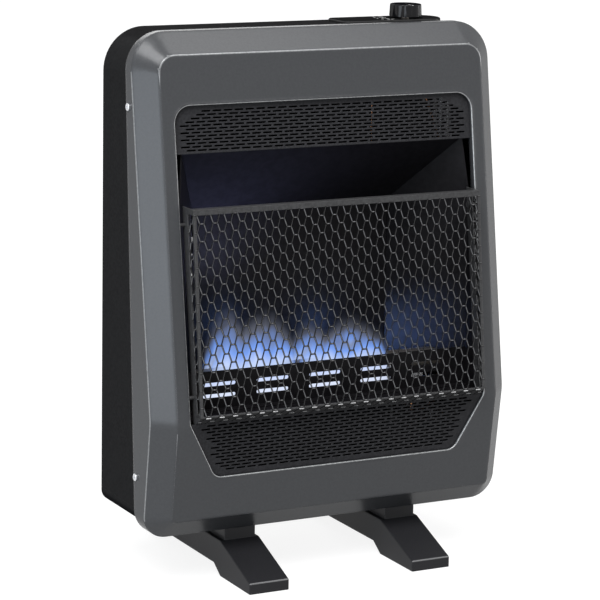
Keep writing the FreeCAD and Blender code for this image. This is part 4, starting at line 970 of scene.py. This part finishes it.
@dataclass
class DialMarks:
    """Printed marks on the control panel and the filled pointer groove of the knob.

    Attributes:
        knob_x: place of the knob's axis along the heater.
        knob_y: place of the knob's axis across the heater.
        panel_top: height of the panel's upper face.
        ring: radius on which the marks start.
        ink: thickness of the print.
        mark_width: width of a mark at its start.
        mark_length: length of a mark.
        mark_taper: share of the width that is left at a mark's far end.
        mark_angles: directions of the marks from the knob, in degrees.
        digit_size: size of the numbers.
        digit_ring: radius on which the numbers stand.
        digit_steps: steps in the curves of the numbers.
        pointer_floor: height of the floor of the knob's groove.
        pointer_width: width of the groove.
        pointer_start: radius where the groove starts.
        pointer_end: radius where the groove ends.
        pointer_fill: how high the groove is filled.
        pointer_taper: share of the width that is left at the groove's far end.
    """

    knob_x: float = 129.7 * MM
    knob_y: float = 8.0 * MM
    panel_top: float = field(default_factory=lambda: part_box("control_panel")[1].z)
    ring: float = 24.0 * MM
    ink: float = 0.12 * MM
    mark_width: float = 1.1 * MM
    mark_length: float = 5.0 * MM
    mark_taper: float = 0.6
    mark_angles: tuple[float, ...] = (150.0, 165.0, 180.0, 195.0, 210.0)
    digit_size: float = 5.2 * MM
    digit_ring: float = 34.0 * MM
    digit_steps: int = 3
    pointer_floor: float = 579.3 * MM
    pointer_width: float = 1.4 * MM
    pointer_start: float = 5.0 * MM
    pointer_end: float = 15.6 * MM
    pointer_fill: float = 0.5 * MM
    pointer_taper: float = 0.9

    def around(self, angle: float, radius: float, height: float) -> Matrix:
        """Place at an angle in radians and a radius about the knob's axis, without a turn."""
        x = self.knob_x + radius * math.cos(angle)
        return Matrix.Translation((x, self.knob_y + radius * math.sin(angle), height))

    def bar(self, length: float, width: float, height: float, taper: float) -> Piece:
        """Model a bar of print along X that starts at the origin.

        Args:
            length: its length.
            width: its width at the start.
            height: its thickness.
            taper: share of the width that is left at the far end.

        Returns:
            The bar.
        """
        bpy.ops.mesh.primitive_plane_add(size=1.0)
        piece = bpy.context.object
        with editing(piece):
            bpy.ops.transform.resize(value=(length, width, 1.0))
            bpy.ops.transform.translate(value=(length / 2.0, 0.0, 0.0))
            choose(piece, lambda place: place.x > length / 2.0)
            bpy.ops.transform.resize(value=(1.0, taper, 1.0), center_override=(length, 0.0, 0.0))
            thicken(height)
        return piece

    def digit(self, text: str, angle: float) -> Piece:
        """Model one printed number beside its mark.

        Args:
            text: the number.
            angle: its direction from the knob, in radians.

        Returns:
            The number as a mesh.
        """
        bpy.ops.object.text_add()
        piece = bpy.context.object
        piece.data.body = text
        piece.data.size = self.digit_size
        piece.data.extrude = self.ink / 2.0
        piece.data.align_x = "CENTER"
        piece.data.align_y = "CENTER"
        piece.data.resolution_u = self.digit_steps
        activate(piece)
        bpy.ops.object.convert(target="MESH")
        piece = bpy.context.object
        settle(piece, self.around(angle, self.digit_ring, self.panel_top + self.ink / 2.0))
        return piece

    def build(self) -> tuple[Piece, Piece]:
        """Model the marks and the pointer.

        Returns:
            The marks on the panel and the pointer on the knob.
        """
        prints: list[Piece] = []
        for number, degrees in enumerate(self.mark_angles, start=1):
            angle = math.radians(degrees)
            mark = self.bar(self.mark_length, self.mark_width, self.ink, self.mark_taper)
            settle(mark, self.around(angle, self.ring, self.panel_top) @ Matrix.Rotation(angle, 4, "Z"))
            prints += [mark, self.digit(str(number), angle)]
        marks = join(prints, "dial_marks")
        length = self.pointer_end - self.pointer_start
        pointer = self.bar(length, self.pointer_width, self.pointer_fill, self.pointer_taper)
        start = Matrix.Translation((self.knob_x, self.knob_y - self.pointer_start, self.pointer_floor))
        settle(pointer, start @ Matrix.Rotation(-QUARTER_TURN, 4, "Z"))
        return marks, join([pointer], "knob_pointer")

    def dress(self, marks: Piece, pointer: Piece) -> None:
        """Ink the marks and the pointer.

        Args:
            marks: print on the panel.
            pointer: fill of the knob's groove.
        """
        ink = INK.make()
        hand_over(marks, Body.HEATER, ink)
        hand_over(pointer, Body.KNOB, ink)


# Solids that keep their CAD shape

@dataclass
class Cabinet:
    """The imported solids, which only get their finishes.

    Attributes:
        made: material of each slot.
    """

    made: dict[str, Material] = field(default_factory=dict)

    def finish(self, slot: str) -> Material:
        """Material of a slot, made once.

        Args:
            slot: the record's material slot.

        Returns:
            Its material.
        """
        if slot not in self.made:
            self.made[slot] = FINISHES[slot].make()
        return self.made[slot]

    def dress(self) -> None:
        """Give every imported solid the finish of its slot."""
        for part in frame["record"]["subparts"]:
            piece = frame["nodes"][part["node"]]
            material = self.finish(part["material_slot"])
            if piece.data.materials:
                for place in range(len(piece.data.materials)):
                    piece.data.materials[place] = material
            else:
                piece.data.materials.append(material)
            LOG.info("%s: %s", part["node"], material.name)


# Smooth copies of the solids that show

@dataclass(frozen=True)
class PressedRim:
    """Rolled edges and creases of the front housing, painted lighter as a painted highlight.

    Attributes:
        half_width: half the width of the opening.
        low: height of its lower edge.
        high: height of its upper edge.
        kink: height at which the housing's face bends.
        front: depth of the face at the bend.
        rise: how far the face falls back per height over the bend.
        fall: how far it falls back per height under the bend.
        reach: how far a place on a rolled edge may lie from those planes.
        side: half the width of the whole housing.
        bevel: width of the slanted border round the face.
        crown: height over which the upper corners of the housing turn.
        radius: radius of the opening's rolled edge.
        fold: radius of the rolled creases.
        steps: flat steps of a rounding.
    """

    half_width: float = 173.0 * MM
    low: float = 116.0 * MM
    high: float = 493.5 * MM
    kink: float = 176.0 * MM
    front: float = -108.5 * MM
    rise: float = 0.1511
    fall: float = 0.1256
    reach: float = 0.9 * MM
    side: float = 207.5 * MM
    bevel: float = 21.4 * MM
    crown: float = 524.0 * MM
    radius: float = 1.1 * MM
    fold: float = 0.9 * MM
    steps: int = 5

    def behind(self, place: Vector) -> float:
        """Tell how far a place lies behind the plane of the face."""
        over = place.z - self.kink
        return place.y - self.front - (over * self.rise if over > 0.0 else -over * self.fall)

    def on_rim(self, place: Vector) -> bool:
        """Say whether a place lies on the front edge of the opening."""
        level = self.low - self.reach < place.z < self.high + self.reach
        return level and abs(place.x) < self.half_width + self.reach and self.behind(place) < self.reach

    def on_crease(self, place: Vector) -> bool:
        """Say whether a place lies on a crease that catches the light.

        Args:
            place: a place on the housing.

        Returns:
            Whether it is on the upper crease of the face or on the left border's outer crease.
        """
        upper = place.z > self.crown and abs(self.behind(place)) < self.reach
        outer = place.x < self.reach - self.side and abs(self.behind(place) - self.bevel) < self.reach
        return upper or (outer and place.z < self.crown + 2.0 * self.reach)

    def roll(self, piece: Piece, test: Callable[[Vector], bool], finish: SurfaceFinish,
             radius: float) -> None:
        """Roll some edges over in a finish of their own.

        Args:
            piece: merged and painted copy of the front housing.
            test: says which places lie on those edges.
            finish: surface of the rolled edges, which paints a highlight on them.
            radius: radius of their rounding.
        """
        piece.data.materials.append(finish.make())
        newest = len(piece.data.materials) - 1
        with editing(piece):
            choose(piece, test)
            bpy.ops.mesh.bevel(offset=radius, segments=self.steps, affect="EDGES", clamp_overlap=False,
                               material=newest)

    def dress(self, piece: Piece) -> None:
        """Roll the opening's edge and the creases that catch the light, on a copy of the housing, and paint
        them lighter as a painted highlight.
        """
        self.roll(piece, self.on_rim, RIM_HIGHLIGHT, self.radius)
        self.roll(piece, self.on_crease, CREASE_HIGHLIGHT, self.fold)


@dataclass(frozen=True)
class RubbedToe:
    """Rounded bends at both ends of a foot, painted pale as a painted highlight and as wear.

    Attributes:
        end: how far the ends lie from the middle of the heater.
        top: height of a bend.
        reach: how far a place on a bend may lie from it.
    """

    end: float = 138.0 * MM
    top: float = 11.4 * MM
    reach: float = 1.4 * MM

    def on_bend(self, place: Vector) -> bool:
        """Say whether a place lies on a bend."""
        return abs(abs(place.y) - self.end) < self.reach and abs(place.z - self.top) < self.reach

    def dress(self, piece: Piece) -> None:
        """Give the bends their own pale finish, a painted highlight and wear.

        Args:
            piece: merged and painted copy of a foot.
        """
        piece.data.materials.append(TOE_HIGHLIGHT_AND_WEAR.make())
        with editing(piece):
            choose(piece, self.on_bend)
            piece.active_material_index = len(piece.data.materials) - 1
            bpy.ops.object.material_slot_assign()


@dataclass(frozen=True)
class StemSpring:
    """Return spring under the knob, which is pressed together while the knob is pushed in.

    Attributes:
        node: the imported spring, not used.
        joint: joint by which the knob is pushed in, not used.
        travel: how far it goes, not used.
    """

    node: str = "stem_spring"
    joint: str = "knob_push"
    travel: float = 4.0 * MM

    def dress(self, piece: Piece) -> None:
        """Give the spring its own copy of its mesh.

        Args:
            piece: merged and smooth copy of the spring.
        """
        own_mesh(piece)


@dataclass
class RoundedSkin:
    """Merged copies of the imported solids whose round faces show, shaded smooth between their sharp edges.

    Attributes:
        nodes: the solids.
        moving: bodies of those that don't stand still with the heater.
        merge: how close the corners of loose triangles are merged.
        flat: most turn between faces that are joined into one flat face.
        crease: least turn between two faces that stays a sharp edge.
        weight: how far large faces outweigh small ones where faces meet.
    """

    nodes: tuple[str, ...] = ("front_housing", "cabinet_wrap", "bottom_pan", "left_foot", "right_foot",
                              "control_panel", "control_knob", "stem_spring")
    moving: dict[str, Body] = field(
        default_factory=lambda: {"control_knob": Body.KNOB, "stem_spring": Body.PLUG})
    merge: float = 0.001 * MM
    flat: float = math.radians(0.3)
    crease: float = math.radians(20.0)
    weight: int = 90

    def build(self, node: str) -> Piece:
        """Copy one solid and merge its loose triangles.

        Args:
            node: name of the solid.

        Returns:
            The merged copy.
        """
        name = f"{node}_skin"
        piece = bpy.data.objects.new(name, frame["nodes"][node].data.copy())
        bpy.context.scene.collection.objects.link(piece)
        piece.data.name = name
        with editing(piece):
            bpy.ops.mesh.remove_doubles(threshold=self.merge)
            bpy.ops.mesh.dissolve_limited(angle_limit=self.flat)
        return piece

    def smooth(self, piece: Piece) -> None:
        """Shade a merged copy smooth between its sharp edges.

        Args:
            piece: merged copy.
        """
        activate(piece)
        bpy.ops.mesh.customdata_custom_splitnormals_clear()
        bpy.ops.object.shade_smooth_by_angle(angle=self.crease)
        normals = piece.modifiers.new("normals", "WEIGHTED_NORMAL")
        normals.keep_sharp = True
        normals.weight = self.weight
        bpy.ops.object.modifier_apply(modifier=normals.name)

    def dress(self, cabinet: Cabinet) -> None:
        """Build every skin and let it stand for its solid.

        Args:
            cabinet: holds the finishes.
        """
        slots = {part["node"]: part["material_slot"] for part in frame["record"]["subparts"]}
        for node in self.nodes:
            piece = self.build(node)
            body = self.moving.get(node, Body.HEATER)
            hand_over(piece, body, cabinet.finish(slots[node]))
            if node == "front_housing":
                PressedRim().dress(piece)
            if node.endswith("_foot"):
                RubbedToe().dress(piece)
            self.smooth(piece)
            if node == "stem_spring":
                StemSpring().dress(piece)
            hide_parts(node)


# Studio

FIRE_BLUE = (0.22, 0.42, 1.0)
FIRE_RADIUS = 0.02


@dataclass(frozen=True)
class Light:
    """Light of the studio or of the flames.

    Attributes:
        name: name of the light.
        kind: Blender's name of its kind.
        place: where it hangs, in metres.
        aim: point that it faces.
        power: its power in watts, or in watts per square metre where it is daylight.
        colour: its colour.
        form: what else is set on it.
        mirrored: whether glossy faces show it.
    """

    name: str
    kind: str
    place: Point
    aim: Point
    power: float
    colour: Colour
    form: dict[str, Any]
    mirrored: bool = True

    @classmethod
    def lamp(cls, name: str, place: Point, aim: Point, width: float, height: float, power: float,
             colour: Colour = WHITE) -> "Light":
        """Soft rectangular lamp of a width and height in metres."""
        form = {"shape": "RECTANGLE", "size": width, "size_y": height}
        return cls(name, "AREA", place, aim, power, colour, form)

    @classmethod
    def fire(cls, name: str, place: Point, aim: Point, power: float, spread: float,
             colour: Colour = FIRE_BLUE) -> "Light":
        """Light that the flames throw on a wall of the firebox, in a beam as wide as the degrees say."""
        form = {"shadow_soft_size": FIRE_RADIUS, "spot_size": math.radians(spread), "spot_blend": 1.0}
        return cls(name, "SPOT", place, aim, power, colour, form, mirrored=False)

    def hang(self) -> None:
        """Add the light to the scene."""
        data = bpy.data.lights.new(self.name, self.kind)
        data.energy = self.power
        data.color = self.colour
        for key, value in self.form.items():
            setattr(data, key, value)
        light = bpy.data.objects.new(self.name, data)
        light.location = self.place
        light.rotation_euler = (Vector(self.aim) - Vector(self.place)).to_track_quat("-Z", "Y").to_euler()
        light.visible_glossy = self.mirrored
        bpy.context.scene.collection.objects.link(light)


@dataclass
class Studio:
    """White floor, soft lamps and the camera.

    Attributes:
        ambient: brightness of the surrounding light.
        floor_size: side of the floor.
        floor_height: height of the floor, just under the feet.
        camera_place: where the camera stands, in metres.
        yaw: its turn to the right, in degrees.
        pitch: its tilt downwards, in degrees.
        roll: its turn about its own axis, in degrees.
        focal: its focal length in image widths.
        sensor: width of its sensor in millimetres.
        sight: how far it sees, in metres.
        lights: the daylight, the lamps and the light of the flames.
    """

    ambient: float = 0.16
    floor_size: float = 30.0
    floor_height: float = -0.0003
    camera_place: Point = (-1.28373594, -2.45176009, 0.85070173)
    yaw: float = 27.742179
    pitch: float = 11.842437
    roll: float = 1.1402
    focal: float = 2665.456 / 600.0
    sensor: float = 36.0
    sight: float = 50.0
    lights: tuple[Light, ...] = (
        Light("key", "SUN", (-0.38, -0.42, 0.82), CENTRE, 3.0, WHITE, {"angle": math.radians(35.0)}),
        Light.lamp("left", (-1.35, -0.72, 0.42), (0.0, -0.05, 0.38), 0.9, 0.75, 8.5, (0.84, 0.92, 1.0)),
        Light.lamp("right", (1.45, 0.0, 0.48), (0.0, -0.05, 0.36), 0.6, 0.9, 7.0),
        Light.lamp("fill", (1.3, -1.8, 2.9), (0.0, 0.0, 0.30), 1.4, 1.4, 12.0),
        Light.lamp("top", (0.42, -0.32, 1.85), (0.0, -0.05, 0.50), 0.9, 0.8, 8.0),
        Light.lamp("back", (0.6, 2.6, 1.8), (0.0, 0.0, 0.30), 1.8, 1.4, 26.0),
        Light.fire("fire_right", (0.0, 0.003, 0.214), (0.135, -0.017, 0.216), 8.0, 52.0),
        Light.fire("fire_hood", (-0.100, -0.035, 0.270), (-0.090, -0.030, 0.420), 2.2, 120.0,
                   (0.46, 0.52, 0.86)),
        Light.fire("fire_back_left", (-0.080, -0.010, 0.250), (-0.080, 0.060, 0.250), 0.24, 150.0),
        Light.fire("fire_back_right", (0.030, -0.010, 0.240), (0.030, 0.060, 0.240), 0.24, 150.0),
    )

    def floor(self) -> None:
        """Lay the floor."""
        bpy.ops.mesh.primitive_plane_add(size=self.floor_size, location=(0.0, 0.0, self.floor_height))
        plane = bpy.context.object
        plane.name = "studio_floor"
        plane.data.materials.append(GroundFinish().make())

    def surroundings(self) -> None:
        """Set the white surroundings."""
        bench = Bench(bpy.data.worlds.new("studio"), "OutputWorld")
        lit, seen = (bench.add("Background", {"Color": WHITE, "Strength": strength}).outputs["Background"]
                     for strength in (self.ambient, 1.0))
        bpy.context.scene.world = bench.close(bench.mix(bench.looked_at(), lit, seen))

    def camera(self) -> None:
        """Set up the camera at the photograph's viewing angle."""
        yaw, pitch, roll = (math.radians(angle) for angle in (self.yaw, self.pitch, self.roll))
        turn = Matrix.Rotation(-yaw, 4, "Z") @ Matrix.Rotation(QUARTER_TURN - pitch, 4, "X")
        data = bpy.data.cameras.new("camera")
        data.sensor_fit = "HORIZONTAL"
        data.sensor_width = self.sensor
        data.lens = self.focal * self.sensor
        data.clip_end = self.sight
        camera = bpy.data.objects.new("camera", data)
        camera.matrix_world = Matrix.Translation(self.camera_place) @ turn @ Matrix.Rotation(roll, 4, "Z")
        bpy.context.scene.collection.objects.link(camera)
        bpy.context.scene.camera = camera

    def build(self) -> None:
        """Set up the whole studio."""
        bpy.context.scene.view_settings.view_transform = "Standard"
        self.camera()
        self.floor()
        self.surroundings()
        for light in self.lights:
            light.hang()


def main() -> None:
    """Build the heater's pieces in order and set up the studio."""
    logging.basicConfig(level=logging.INFO, format="%(name)s: %(message)s")
    cabinet = Cabinet()
    cabinet.dress()
    RoundedSkin().dress(cabinet)
    weave = GuardWeave()
    weave.dress(*weave.build())
    flames = FlameCurtain()
    flames.dress(*flames.build())
    dial = DialMarks()
    dial.dress(*dial.build())
    Studio().build()


if __name__ == "__main__":
    main()
